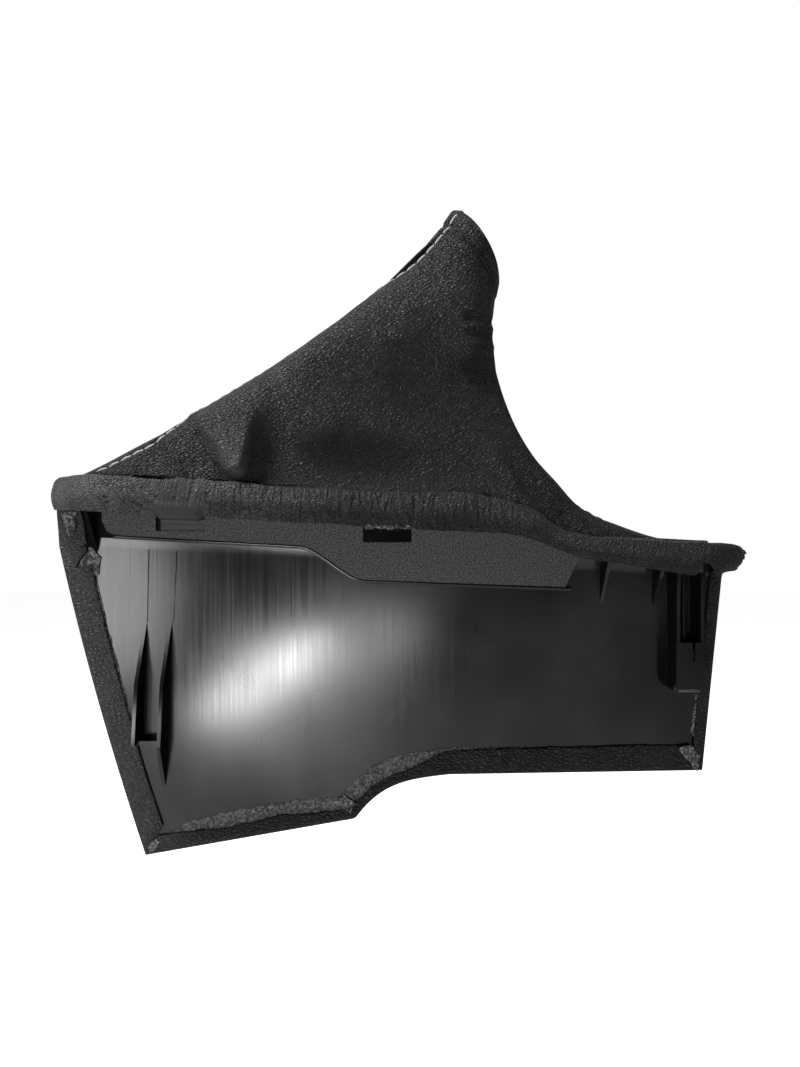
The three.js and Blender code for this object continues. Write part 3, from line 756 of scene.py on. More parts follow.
def skirt_columns(share, count):
    """The skirt over the deck's rim: its lower edge, its rounded band, and the crease at the rim."""
    point, outward = edge_at(share)
    x = point[:, 0]
    tucked = 1 - smooth(np.abs(x - SLOT_XS[0]), 8.8, 11.0)
    top, low = deck_z(x), skirt_z(x)
    low = low - 0.4 + 0.5 * (0.5 * line_noise(x, 14, 3) + 0.25 * line_noise(x, 5, 4))
    low = low + RELIEF_RISE * np.exp(-((x - RELIEF_X) / 3.4) ** 4)
    low = low + FLAP_RISE * smooth(x, RELIEF_X + 4, RELIEF_X + 9)
    low = low + TIP_RISE * smooth(x, RIGHT_X - 13, RIGHT_X - 2)
    band = RIM_GAP + LEATHER
    keys = [
        (mix(band, -1.6, tucked), low - 2.2 * tucked),
        (band + 0.5 + 1.4 * tucked, low + 1.2 - 2.4 * tucked),
        (band + SKIRT_BULGE * 0.7 + 1.2 * tucked, mix(low, top, 0.2)),
        (band + SKIRT_BULGE * 1.15, mix(low, top, 0.5)),
        (band + SKIRT_BULGE * 0.9, mix(low, top, 0.82)),
        (LEATHER * 0.9, top + 2.6), (-2.2, top + 3.5), (-4.6, top + 3.1)]
    points = []
    for out, z in keys:
        place = point + outward * (np.zeros(len(x)) + out)[:, None]
        points.append(np.column_stack([place, np.zeros(len(x)) + z]))
    points = np.stack(points)
    t = np.linspace(0, 1, count) ** 0.9
    return np.stack([centripetal(points[:, j], t, False) for j in range(len(x))], 1)


def denser_ends(count, pull=0.5):
    s = np.linspace(0, 1, count)
    return s - pull * np.sin(2 * np.pi * s) / (2 * np.pi)


def panel_grid(columns, rows, far):
    """Outer skin of one gaiter side from foot to mouth, between the front seam and the rear seam."""
    rise = mix(FOOT_RISE, TOP_RISE, np.linspace(0, 1, rows) ** 1.1)
    s = denser_ends(columns)
    seam = seam_around(rise)[:, None]
    around = 0.5 + (0.5 + seam) * s if far else seam + (0.5 - seam) * s
    base = bellows_point(around, np.broadcast_to(rise[:, None], around.shape))
    return base + grid_normals(base) * LEATHER


def trim_seams(grid):
    """Turns both seam edges in a little, and draws a shallow groove where the stitches pull."""
    run = run_length(grid, 1)
    ends = np.minimum(run, run[:, -1:] - run)
    turned = 0.3 * np.exp(-(ends / 0.6) ** 2) + 0.2 * np.exp(-((ends - STITCH_INSET) / 0.6) ** 2)
    return grid - grid_normals(grid) * turned[..., None]


def at_distance(grid, distance, axis, from_end=False):
    """Points, and normals, a set distance in from one border of a grid."""
    normals = grid_normals(grid)
    if axis == 0:
        grid, normals = grid.swapaxes(0, 1), normals.swapaxes(0, 1)
    if from_end:
        grid, normals = grid[:, ::-1], normals[:, ::-1]
    run = run_length(grid, 1)
    points = [read_points(distance, *line) for line in zip(run, grid)]
    facing = [read_points(distance, *line) for line in zip(run, normals)]
    return np.stack(points), np.stack(facing)


def rolled_mouth(grid):
    """Adds the leather's turn over the rim and its return down the inside."""
    normals = grid_normals(grid)
    rim, n = grid[-1], normals[-1]
    up = unit(grid[-1] - grid[-2])
    rows = []
    for angle in np.linspace(0, np.pi, 7)[1:]:
        rows.append(rim - n * ROLL * (1 - math.cos(angle)) + up * ROLL * math.sin(angle))
    step = np.linalg.norm(grid[-1] - grid[-2], axis=-1).mean()
    for k in range(2, int(HEM_DEPTH / step) + 2, 2):
        rows.append(grid[-k] - normals[-k] * 2 * ROLL)
    return np.concatenate([grid, np.stack(rows)])


def hem_relief(grid):
    """The doubled leather at the mouth, and the groove that its stitches pull in."""
    from_rim = run_length(grid[::-1], 0)[::-1]
    doubled = 0.45 * (1 - smooth(from_rim, HEM_DEPTH - 1, HEM_DEPTH + 1.5))
    return doubled - 1.5 * np.exp(-((from_rim - HEM_DEPTH) / 1.1) ** 2)


def between_edges(rows, foot_rows):
    """By row: 0 at the foot and at the mouth, and 1 between them."""
    row = np.arange(rows)[:, None]
    return smooth(row, 0, foot_rows) * (1 - smooth(row, rows - 16, rows - 3))


def near_grid():
    up = panel_grid(NEAR_COLUMNS, 122, False)
    skirt = skirt_columns(mix(0.012, 0.988, denser_ends(NEAR_COLUMNS)), 30)
    plain = np.concatenate([skirt, up])
    lumps = 0.35 * value_noise(plain, 16, 1) + 0.16 * value_noise(plain, 7, 2)
    heights = (fold_heights(photo_px(plain)) + lumps) * between_edges(len(plain), 6) + hem_relief(plain)
    return trim_seams(plain + grid_normals(plain) * heights[..., None]), len(skirt)


def foot_lap(up):
    """The far side's foot, turned out to lap over the side cover's edge."""
    outward = unit(grid_normals(up)[0] * (1, 1, 0))
    s = np.linspace(0, 1, up.shape[1])
    reach = mix(1.0, LAP_REACH, smooth(np.minimum(s, 1 - s), 0, 0.05))
    rows = []
    for share, rise in LAP_ROWS:
        place = up[0] + outward * (reach * share)[:, None]
        place[:, 2] = deck_z(place[:, 0]) + SHEATH + rise
        rows.append(place)
    return np.concatenate([np.stack(rows), up[2:]])


def far_grid():
    up = foot_lap(panel_grid(170, 96, True))
    lumps = 0.9 * value_noise(up, 30, 5) + 0.4 * value_noise(up, 12, 6)
    s = np.linspace(0, 1, up.shape[1])
    calm = between_edges(len(up), 12) * smooth(np.minimum(s, 1 - s), 0, 0.08)
    return trim_seams(up + grid_normals(up) * (lumps * calm + hem_relief(up))[..., None])


def band_creases(grid, skirt_rows):
    """Where the band's fine creases lie: their own coordinates, and how strong they are."""
    uv = grid_uv(grid)
    px = photo_px(grid)
    slant = np.radians(58) * (1 - smooth(px[..., 0], 150, 215))
    slant = slant - np.radians(20) * smooth(px[..., 0], 540, 640)
    u = np.cos(slant) * uv[..., 0] + np.sin(slant) * uv[..., 1]
    v = -np.sin(slant) * uv[..., 0] + np.cos(slant) * uv[..., 1]
    rows = np.arange(grid.shape[0])[:, None]
    strength = 1 - smooth(rows, skirt_rows * 0.75, skirt_rows + 6)
    strength = strength * mix(1.0, 0.35, smooth(px[..., 0], 470, 560)) * smooth(px[..., 0], 60, 110)
    strength = strength * (1 - slot_roll(grid, skirt_rows))
    return np.stack([u / 2.2, v / 8.0, np.zeros_like(u)], -1), strength * np.ones(grid.shape[:2])


def slot_roll(grid, skirt_rows):
    """Where the leather is drawn smooth into the left slot."""
    across = 1 - smooth(np.abs(grid[..., 0] - SLOT_XS[0]), 10.5, 14.0)
    rows = np.arange(grid.shape[0])[:, None]
    return across * (1 - smooth(rows, skirt_rows * 0.25, skirt_rows * 0.42))


def near_highlights(grid, skirt_rows):
    """Painted highlight: where the near side is painted paler as if lit: the band, more so to the left, the
    pinch's lit face and the crest, over a random cloud, and less on the slot roll.
    """
    px = photo_px(grid)
    rows = np.arange(grid.shape[0])[:, None]
    band = 1 - smooth(rows, skirt_rows * 0.72, skirt_rows * 1.05)
    band = band * mix(1.0, 0.14, smooth(px[..., 0], 60, 400))
    pinch = 0.9 * pinch_facet(px) / PINCH_HEIGHT
    crest = 0.4 * ridge(px, CREST, 1.0, 26, 16, 0.25)
    cloud = 0.75 + 0.5 * value_noise(grid, 13, 21)
    lit_share = np.maximum(np.maximum(band, pinch), crest) * cloud
    return np.clip(lit_share * (1 - 0.7 * slot_roll(grid, skirt_rows)), 0, 1)


def put_on_sheet(piece, name, values, rows):
    """Stores values given for the outer skin on both skins, with the last row kept for the rolled mouth."""
    values = np.concatenate([values, np.repeat(values[-1:], rows - len(values), axis=0)])
    flat = values.reshape(-1, *values.shape[2:])
    put_values(piece, name, np.concatenate([flat, flat]))


def make_gaiter():
    near, skirt_rows = near_grid()
    far = far_grid()
    rolled = rolled_mouth(near)
    near_piece = sheet_object("gaiter_near_leather", rolled, LEATHER)
    far_piece = sheet_object("gaiter_far_leather", rolled_mouth(far), LEATHER)
    creases, strength = band_creases(near, skirt_rows)
    # The highlight attribute holds the near side's painted highlights
    patterns = {"crease_place": creases, "creased": strength, "painted_highlight": near_highlights(near, skirt_rows),
                "slick": slot_roll(near, skirt_rows)}
    for name, values in patterns.items():
        put_on_sheet(near_piece, name, values, len(rolled))
    for piece, name in ((near_piece, "gaiter_near_side"), (far_piece, "gaiter_far_side")):
        finish_piece(piece, GAITER_LEATHER)
        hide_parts(name)
    return near, far


# Shapes made by Geometry Nodes

def new_group(name, sizes):
    """A tree that takes geometry and the named sizes, and gives geometry back."""
    group = bpy.data.node_groups.new(name, "GeometryNodeTree")
    sockets = group.interface
    sockets.new_socket("Geometry", in_out="INPUT", socket_type="NodeSocketGeometry")
    for size in sizes:
        kind = "NodeSocketInt" if size == "Seed" else "NodeSocketFloat"
        sockets.new_socket(size, in_out="INPUT", socket_type=kind)
    sockets.new_socket("Geometry", in_out="OUTPUT", socket_type="NodeSocketGeometry")
    return group, node(group, "NodeGroupInput").outputs


def point_at(group, **along):
    return node(group, "ShaderNodeCombineXYZ", **along).outputs[0]


def thread_mesh(group, points, steps, radius, sides):
    """A round thread along a curve given by its start, its middle handle and its end."""
    start, middle, end = points
    curve = node(group, "GeometryNodeCurveQuadraticBezier", Resolution=steps, Start=start, Middle=middle,
                 End=end)
    ring = node(group, "GeometryNodeCurvePrimitiveCircle", Resolution=sides, Radius=radius)
    made = node(group, "GeometryNodeCurveToMesh", Curve=curve.outputs["Curve"],
                Profile_Curve=ring.outputs["Curve"], Fill_Caps=True)
    return made.outputs["Mesh"]


def set_on_points(group, made, **named):
    """Sets a shape on points, makes it real and gives it its material, as the tree's result."""
    placed = node(group, "GeometryNodeInstanceOnPoints", **named)
    real = node(group, "GeometryNodeRealizeInstances", Geometry=placed.outputs["Instances"])
    coat = node(group, "GeometryNodeSetMaterial", Geometry=real.outputs["Geometry"], Material=made)
    node(group, "NodeGroupOutput", Geometry=coat.outputs["Geometry"])


def stitch_group(name, made):
    """One stitch at each point, arched along the attribute ahead and standing off along facing."""
    group, given = new_group(name, ("Stitch length", "Thread radius", "Arch height"))
    half = calculated(group, "MULTIPLY", given["Stitch length"], 0.5)
    back = calculated(group, "MULTIPLY", half, -1.0)
    sunk = calculated(group, "MULTIPLY", given["Thread radius"], -1.0)
    crown = calculated(group, "MULTIPLY", given["Arch height"], 2.0)
    arch = (point_at(group, X=back, Z=sunk), point_at(group, Z=crown), point_at(group, X=half, Z=sunk))
    ahead, facing = (node(group, "GeometryNodeInputNamedAttribute", data_type="FLOAT_VECTOR", Name=key)
                     for key in ("ahead", "facing"))
    turn = node(group, "FunctionNodeAxesToRotation", primary_axis="Z", secondary_axis="X",
                Primary_Axis=facing.outputs["Attribute"], Secondary_Axis=ahead.outputs["Attribute"])
    set_on_points(group, made, Points=given["Geometry"], Rotation=turn.outputs["Rotation"],
                  Instance=thread_mesh(group, arch, 6, given["Thread radius"], 6))
    return group


def made_by_nodes(obj, group, values):
    """Runs a node group on an object with the given inputs, and keeps the result as its mesh."""
    nodes = obj.modifiers.new("made", "NODES")
    nodes.node_group = group
    for socket in group.interface.items_tree:
        if socket.in_out == "INPUT" and socket.name in values:
            nodes[socket.identifier] = values[socket.name]
    keep_modifiers(obj)
    smooth_faces(obj.data)


# Stitches: pitch, length and thread radius
SEAM_STITCH = (5.9, 4.9, 0.48)
HEM_STITCH = (4.6, 3.9, 0.5)
ARCH_HEIGHT = 0.35
THREAD_LIFT = 0.12
ROW_END_GAP = 2.0
# The rows below which the front and rear seams show no stitches
SPINE_START_ROW = 24
REAR_START_ROW = 8


def stitches(name, line, kind, made):
    """A row of stitches along a path of points, lying on a surface that faces the given way."""
    path, facing = line
    pitch, length, radius = kind
    run = run_length(path)
    places = np.arange(ROW_END_GAP, run[-1] - ROW_END_GAP, pitch)
    ahead = read_points(places + 1, run, path) - read_points(places - 1, run, path)
    out = read_points(places, run, facing)
    obj = new_mesh_object(name, read_points(places, run, path) + out * THREAD_LIFT, [])
    put_values(obj, "ahead", ahead)
    put_values(obj, "facing", out)
    sizes = {"Stitch length": length * MM, "Thread radius": radius * MM, "Arch height": ARCH_HEIGHT * MM}
    made_by_nodes(obj, stitch_group(name + "_nodes", made), sizes)
    finish_piece(obj, None)


def make_stitches(near, far):
    spine = at_distance(near[SPINE_START_ROW:], STITCH_INSET, 1)
    stitches("spine_stitches", spine, SEAM_STITCH, THREAD)
    for name, grid in (("mouth_near_stitches", near), ("mouth_far_stitches", far)):
        stitches(name, at_distance(grid, HEM_DEPTH, 0, True), HEM_STITCH, DARK_THREAD)
    rear = at_distance(far[REAR_START_ROW:], STITCH_INSET, 1)
    stitches("rear_stitches", rear, SEAM_STITCH, THREAD)


# Side cover: one leather sheet over the panel and shoulder, turned round the edges as hems

OUTER = WALL + SHEATH
COVER_SEAM_Y = DECK_FAR_Y - FOOT_INSET + LIP + LEATHER + SEAM_GAP
BOTTOM_RUN = PANEL_LENGTH - LEFT_EDGE_RUN - RIGHT_EDGE_RUN
STEP_START = (STEP_X - LEFT_X - LEFT_EDGE_RUN) / BOTTOM_RUN
STEP_END = STEP_START + STEP_RUN / BOTTOM_RUN

# Widths of the hems on the inner face, and of the glue beyond them, by their pixel column in the photograph
BOTTOM_HEM = [(147, 8.0), (172, 7.6), (222, 5.6), (249, 6.6), (277, 7.4), (300, 5.6), (332, 4.6),
              (352, 6.0), (366, 3.8), (395, 3.9), (410, 4.4), (424, 6.4), (440, 9.5), (455, 11.2),
              (490, 11.8), (600, 12.0), (660, 12.4), (700, 12)]
BOTTOM_GLUE = [(165, 9.0), (176, 12.3), (205, 13.4), (249, 13.6), (293, 13.2), (332, 11.4), (352, 11.2),
               (366, 11.8), (386, 12.6), (404, 12.4), (424, 12.3), (450, 12.5), (475, 12.8), (500, 12.4),
               (530, 12.2)]
GLUE_START_PX, GLUE_END_PX = 163, 532
COVER_COLUMNS = 300
# Extra rows that the notch in the left hem needs
NOTCH_ROWS = np.linspace(0.9, 0.98, 40)
# Points this near each other are one
WELD = 0.02
# Widths of the side hems, by the share of the way up the edge, and past 1 over the shoulder
LEFT_HEM = [(0, 12.4), (0.2, 12.0), (0.5, 12.6), (0.8, 12.8), (0.9, 13.6), (0.915, 13.6), (0.922, 5.0),
            (0.945, 8.2), (0.965, 12.6), (1.0, 13.4), (1.35, 12.6), (1.7, 9.5), (2.0, 7.0)]
RIGHT_HEM = [(0, 5.0), (0.5, 5.3), (1.0, 5.0), (2.0, 4.6)]


def bottom_point(share):
    share = np.asarray(share, float)
    x = mix(LEFT_X + LEFT_EDGE_RUN, RIGHT_X - RIGHT_EDGE_RUN, share)
    left_foot = shoulder_z(LEFT_X) - LEFT_EDGE_DROP
    right_foot = shoulder_z(RIGHT_X) - RIGHT_EDGE_DROP
    step_foot, step_top = shoulder_z(STEP_X) - STEP_FOOT, shoulder_z(STEP_X) - BOTTOM_RIGHT_DROP
    t = np.clip((share - STEP_START) / (STEP_END - STEP_START), 0, 1)
    curved = mix(step_foot, step_top, 0.75 * (1 - (1 - t) ** 3.6) + 0.25 * t)
    z = np.where(share <= STEP_START, mix(left_foot, step_foot, share / STEP_START), curved)
    z = np.where(share >= STEP_END, mix(step_top, right_foot, (share - STEP_END) / (1 - STEP_END)), z)
    return np.stack([x, z], -1)


def panel_point(share, up):
    share, up = np.broadcast_arrays(np.asarray(share, float), np.asarray(up, float))
    foot = bottom_point(share)
    head = mix(LEFT_X, RIGHT_X, share)
    bow = 4 * LEFT_EDGE_BOW * up * (1 - up) * (1 - share) ** 2
    return np.stack([mix(foot[..., 0], head, up) - bow, mix(foot[..., 1], shoulder_z(head), up)], -1)


def shoulder_point(x, turn, out):
    x, turn, out = np.broadcast_arrays(x, turn, out)
    angle = turn * np.pi / 2
    rise = deck_z(x) - WALL - shoulder_z(x) + out
    y = out - (SHOULDER_DEPTH + out) * (1 - np.cos(angle))
    return np.stack([x, y, shoulder_z(x) + rise * np.sin(angle)], -1)


bottom_edge = Track(bottom_point(np.linspace(0, 1, 600)))
left_edge = Track(panel_point(np.zeros(80), np.linspace(0, 1, 80)))
right_edge = Track(panel_point(np.ones(80), np.linspace(0, 1, 80)))


def half_corner(first, second):
    """Cotangent of half the angle between two directions."""
    angle = math.acos(float(np.clip(first @ second, -1, 1)))
    return 1 / math.tan(angle / 2)


LEFT_MITRE = half_corner(bottom_edge.tangent(0.002), left_edge.tangent(0.004))
RIGHT_MITRE = half_corner(-bottom_edge.tangent(0.998), right_edge.tangent(0.004))


def bottom_strip(s, h, out):
    """A point beside the bottom edge: h inwards from it, on the skin at height out."""
    length = bottom_edge.length
    cut = 0.3 * np.clip(h, 0, 1)
    along = mix(h * LEFT_MITRE + cut, length - h * RIGHT_MITRE - cut, s) / length
    place, ahead = bottom_edge.at(np.clip(along, 0, 1)), bottom_edge.tangent(np.clip(along, 0.003, 0.997))
    past = (np.minimum(along, 0) + np.maximum(along - 1, 0)) * length
    flat = place + ahead * past[..., None] + np.stack([-ahead[..., 1], ahead[..., 0]], -1) * h[..., None]
    return np.stack([flat[..., 0], np.broadcast_to(out, h.shape), flat[..., 1]], -1)


def side_strip(t, h, out, left):
    """A point beside the left or right edge. Beyond t = 1 the edge runs on over the shoulder."""
    edge, mitre = (left_edge, LEFT_MITRE) if left else (right_edge, RIGHT_MITRE)
    cut = 0.3 * np.clip(h, 0, 1)
    start = (h * mitre + cut) / edge.length
    along = mix(start, 1, np.clip(t, 0, 1))
    place, ahead = edge.at(np.clip(along, 0, 1)), edge.tangent(np.clip(along, 0.004, 0.996))
    past = np.minimum(along, 0) * edge.length
    turn = 1 if left else -1
    inward_way = np.stack([ahead[..., 1], -ahead[..., 0]], -1) * turn
    flat = place + ahead * past[..., None] + inward_way * h[..., None]
    panel = np.stack([flat[..., 0], np.broadcast_to(out, h.shape), flat[..., 1]], -1)
    bent = np.clip(t - 1, 0, 1)
    if left:
        x = mix(LEFT_X, DECK_LEFT_X, bent) - SHOULDER_FLARE * np.sin(bent * np.pi) + h
    else:
        x = mix(RIGHT_X, DECK_RIGHT_X, bent) - h
    over = shoulder_point(x, bent, out)
    blend = smooth(t, 0.97, 1.0)[..., None]
    return np.where(t[..., None] > 1, over, mix(panel, shoulder_point(x, bent * 0, out), blend))


def left_strip(t, h, out):
    return side_strip(t, h, out, True)


def right_strip(t, h, out):
    return side_strip(t, h, out, False)


def wrap_rows(count):
    """Offset inwards and skin height of the rows that go round an edge."""
    angle = np.linspace(0, np.pi, count)
    h = -SHEATH * np.sin(angle) ** 0.8
    return h, mix(-SHEATH, OUTER, (1 + np.cos(angle)) / 2)


def hem_profile(share):
    """Height of a hem over the inner face, from the edge to the hem's own cut edge."""
    return -SHEATH - 0.25 * np.sin(np.pi * share ** 0.7) - 0.12 * smooth(share, 0.8, 1.0)


def hem_strip(place, columns, width, wrap=9, rows=12):
    """The rows from the outer face round an edge and over the hem, for an array of columns."""
    h_wrap, out_wrap = wrap_rows(wrap)
    rows_made = []
    for h, out in zip(h_wrap, out_wrap):
        rows_made.append(place(columns, np.full(columns.shape, h), out))
    for share in np.linspace(0, 1, rows)[1:]:
        h = width * share
        points = place(columns, h, hem_profile(share))
        lumps = 0.22 * value_noise(points, 9, 8) + 0.12 * value_noise(points, 3.5, 9)
        points[..., 1] -= (lumps + 0.1) * smooth(share, 0.0, 0.2)
        rows_made.append(points)
    return np.stack(rows_made)


def photo_column(points):
    return photo_px(points)[..., 0]


def cover_main(columns, rows_up, rows_over):
    share = np.linspace(0, 1, columns)
    over = []
    for turn in np.linspace(1, 0, rows_over):
        left = mix(LEFT_X, DECK_LEFT_X, turn) - SHOULDER_FLARE * math.sin(turn * math.pi)
        right = mix(RIGHT_X, DECK_RIGHT_X, turn)
        over.append(shoulder_point(mix(left, right, share), turn, OUTER))
    tail = over[0].copy()
    tail[:, 1] = COVER_SEAM_Y
    panel = []
    for up in np.linspace(1, 0, rows_up)[1:]:
        flat = panel_point(share, np.full(columns, up))
        panel.append(np.stack([flat[:, 0], np.full(columns, OUTER), flat[:, 1]], -1))
    return np.stack([tail, *over, *panel])


def joined_grids(grids):
    """Points and faces of several grids, with the points on shared borders made one."""
    verts, faces, offset = [], [], 0
    for grid in grids:
        rows, cols = grid.shape[:2]
        faces.append(grid_faces(np.arange(rows * cols).reshape(rows, cols) + offset))
        verts.append(grid.reshape(-1, 3))
        offset += rows * cols
    verts, faces = np.concatenate(verts), np.concatenate(faces)
    key = np.round(verts / WELD).astype(np.int64)
    _, first, weld = np.unique(key, axis=0, return_index=True, return_inverse=True)
    faces = weld.ravel()[faces]
    return verts[first], faces[[len(set(f)) == 4 for f in faces.tolist()]]


def vertex_normals(verts, faces):
    corners = verts[faces]
    face_normal = np.cross(corners[:, 2] - corners[:, 0], corners[:, 3] - corners[:, 1])
    normals = np.zeros_like(verts)
    for k in range(4):
        np.add.at(normals, faces[:, k], face_normal)
    return unit(normals)


def sheet_from(name, grids, thickness):
    """A closed sheet under several grids of points that share borders."""
    verts, faces = joined_grids(grids)
    inner = verts - vertex_normals(verts, faces) * thickness
    count = len(verts)
    edges = {}
    for f in faces.tolist():
        for a, b in zip(f, f[1:] + f[:1]):
            edges[(a, b)] = True
    sides = [(b, a, a + count, b + count) for a, b in edges if (b, a) not in edges]
    under = faces[:, ::-1] + count
    return new_mesh_object(name, np.concatenate([verts, inner]), [*faces.tolist(), *under.tolist(), *sides])


def put_cover_highlight(piece):
    """Painted highlight: the hem at the left end is painted paler than the rest."""
    points = np.empty(len(piece.data.vertices) * 3, np.float32)
    piece.data.vertices.foreach_get("co", points)
    points = points.reshape(-1, 3) / MM
    put_values(piece, "painted_highlight", 0.4 * (1 - smooth(photo_column(points), 100, 250)) * (points[:, 1] < 0))


def make_cover():
    rows_up, rows_over = 60, 16
    s = np.linspace(0, 1, COVER_COLUMNS)
    edge_px = photo_column(bottom_strip(s, s * 0, -SHEATH))
    width = at_places(edge_px, BOTTOM_HEM) + 0.3 * line_noise(edge_px, 11, 12)
    ups = np.concatenate([[2.0], np.linspace(2, 1, rows_over), np.linspace(1, 0, rows_up)[1:]])[::-1]
    with_notch = np.unique(np.round(np.concatenate([ups, NOTCH_ROWS]), 6))[::-1]
    grids = [
        cover_main(COVER_COLUMNS, rows_up, rows_over), hem_strip(bottom_strip, s, width),
        hem_strip(left_strip, with_notch, at_places(with_notch, LEFT_HEM)),
        hem_strip(right_strip, ups, at_places(ups, RIGHT_HEM))]
    piece = sheet_from("side_cover_leather", grids, LEATHER)
    finish_piece(piece, COVER_LEATHER)
    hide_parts("side_cover")
    put_cover_highlight(piece)


# Glue left on the panel, and the raw hide that shows where the leather is cut or torn

# Lumps of the residue: share, size and seed
CRUST_LUMPS = [(0.5, 2.4, 21), (0.35, 1.1, 22), (0.3, 0.55, 23)]
RESIDUE_BACK_Y = -0.05


def flat_backed(name, outer, back_y, made):
    """A rough skin facing the camera, with a flat back at the depth given."""
    facing = np.zeros_like(outer)
    facing[..., 1] = -1
    thickness = np.maximum(back_y - outer[..., 1], 0.03)
    return finish_piece(sheet_object(name, outer, thickness, facing), made)


def crust(points, height):
    """Lumpy residue: a few sizes of lumps, with the tallest about the height given."""
    flat = points[..., [0, 2]]
    lumps = sum(share * value_noise(flat, scale, seed) for share, scale, seed in CRUST_LUMPS)
    return height * np.clip(0.35 + 0.75 * lumps, 0.03, 1.2)


def residue_strip(name, place, columns, distance, heights, shares, lift, made):
    """Residue on the panel's inner face, beside an edge, with a row of points for each share."""
    skins = []
    for share in shares:
        points = place(columns, distance(share), 0.0)
        points[..., 1] = -lift - crust(points, heights(share))
        skins.append(points)
    return flat_backed(name, np.stack(skins), RESIDUE_BACK_Y, made)


def bottom_glue_height(share):
    return mix(0.9, 0.55, share) * (1 - 0.8 * smooth(share, 0.85, 1.0))


def glue_along_bottom():
    s = np.linspace(0.0, 1.0, 1100)
    px = photo_column(bottom_strip(s, s * 0, 0.0))
    seen = (px > GLUE_START_PX) & (px < GLUE_END_PX)
    s, px = s[seen], px[seen]
    near = at_places(px, BOTTOM_HEM) - 1.2
    far = at_places(px, BOTTOM_GLUE) + 0.5 * line_noise(px, 9, 31) + 0.5 * line_noise(px, 3, 32)
    return residue_strip("glue_bottom", bottom_strip, s, lambda share: mix(near, far, share),
                         bottom_glue_height, np.linspace(0, 1, 30), 0.12, GLUE)


def hide_along_right():
    """A thin line of torn hide beside the right hem."""
    t = np.linspace(0.12, 0.46, 90)
    frayed = 0.5 * line_noise(t * 90, 4, 33)
    return residue_strip("glue_right", right_strip, t, lambda share: mix(4.6, 6.3, share) + frayed * share,
                         lambda share: 0.9, np.linspace(1, 0, 8), 0.12, RAW_HIDE)


def hide_along_left():
    """A thin frayed line of hide beside the left hem."""
    t = np.linspace(0.3, 0.9, 260)
    edge = at_places(t, LEFT_HEM) - 0.1
    frayed = 0.9 + 0.5 * line_noise(t * 160, 4, 35)
    return residue_strip("hide_left", left_strip, t, lambda share: edge + frayed * share,
                         lambda share: 0.5, np.linspace(0, 1, 6), 0.10, RAW_HIDE)


# Scraps of raw hide: four corners in the photograph's pixels, depth of the back, and height
SCRAPS = [
    ("right_corner", [(677, 748), (690, 743), (699, 755), (697, 771)], -2.0, 1.8),
    ("left_mitre", [(147, 846), (156, 838), (160, 842), (152, 853)], -1.9, 0.6),
    ("step_foot", [(334, 801), (345, 795), (355, 803), (350, 812)], -1.9, 0.5),
    ("notch", [(77, 568), (91, 547), (101, 556), (99, 574)], -0.3, 1.0),
    ("torn_tip", [(60, 512), (76, 510), (75, 530), (69, 536)], -6.0, 0.9),
    ("slot_edge", [(366, 523), (415, 524), (415, 529), (366, 528)], -67.6, 0.8),
    ("right_tip", [(713, 561), (726, 562), (724, 568), (715, 567)], -40.0, 0.8),
]


def scrap(name, corners, back_y, height):
    corners = np.asarray(corners, float)
    u, v = np.meshgrid(np.linspace(0, 1, 40), np.linspace(0, 1, 24))
    a, b, c, d = corners
    px = (1 - v[..., None]) * mix(a, b, u[..., None]) + v[..., None] * mix(d, c, u[..., None])
    wobble = np.stack([value_noise(px, 4, 41), value_noise(px, 4, 42)], -1)
    points = unproject(px + 0.9 * wobble, back_y)
    points[..., 1] = back_y - 0.1 - crust(points, height)
    return flat_backed("hide_" + name, points[::-1], back_y, RAW_HIDE)


FIBRE_LENGTH = 1.5
FIBRE_RADIUS = 0.05
# Fibres on a square metre
GLUE_FIBRES, EDGE_FIBRES, SCRAP_FIBRES = 3.2e5, 4.0e5, 6.0e5


def fibre_group(made):
    """Short bent fibres, scattered over the faces of a mesh."""
    group, given = new_group("fibre_nodes", ("Density", "Fibre length", "Fibre radius", "Seed"))
    seed = given["Seed"]
    roots = node(group, "GeometryNodeDistributePointsOnFaces", Mesh=given["Geometry"],
                 Density=given["Density"], Seed=seed)
    half = calculated(group, "MULTIPLY", given["Fibre length"], 0.45)
    strand = ((0, 0, 0), point_at(group, X=half, Z=half), point_at(group, X=given["Fibre length"]))
    spin = node(group, "FunctionNodeRandomValue", data_type="FLOAT_VECTOR", Min=(-0.9, -0.5, -3.14),
                Max=(0.9, 0.5, 3.14), Seed=seed)
    turn = node(group, "FunctionNodeRotateRotation", rotation_space="LOCAL",
                Rotation=roots.outputs["Rotation"], Rotate_By=spin.outputs["Value"])
    size = node(group, "FunctionNodeRandomValue", data_type="FLOAT", Min=0.4, Max=1.3, Seed=seed)
    set_on_points(group, made, Points=roots.outputs["Points"], Rotation=turn.outputs["Rotation"],
                  Scale=size.outputs["Value"],
                  Instance=thread_mesh(group, strand, 4, given["Fibre radius"], 3))
    return group


def fibres(base, density, seed):
    """Fibres on the camera side of a rough piece."""
    work = bmesh.new()
    work.from_mesh(base.data)
    behind = [f for f in work.faces if f.normal.y > -0.2]
    bmesh.ops.delete(work, geom=behind, context="FACES")
    mesh = bpy.data.meshes.new(base.name + "_fibres")
    work.to_mesh(mesh)
    work.free()
    obj = new_object(base.name + "_fibres", mesh)
    sizes = {"Density": density, "Fibre length": FIBRE_LENGTH * MM, "Fibre radius": FIBRE_RADIUS * MM,
             "Seed": seed}
    made_by_nodes(obj, fibre_group(FIBRE), sizes)
    finish_piece(obj, None)


def make_residue():
    bottom = glue_along_bottom()
    right = hide_along_right()
    hide_along_left()
    fibres(bottom, GLUE_FIBRES, 5)
    fibres(right, EDGE_FIBRES, 6)
    for seed, (name, corners, back_y, height) in enumerate(SCRAPS):
        fibres(scrap(name, corners, back_y, height), SCRAP_FIBRES, 10 + seed)


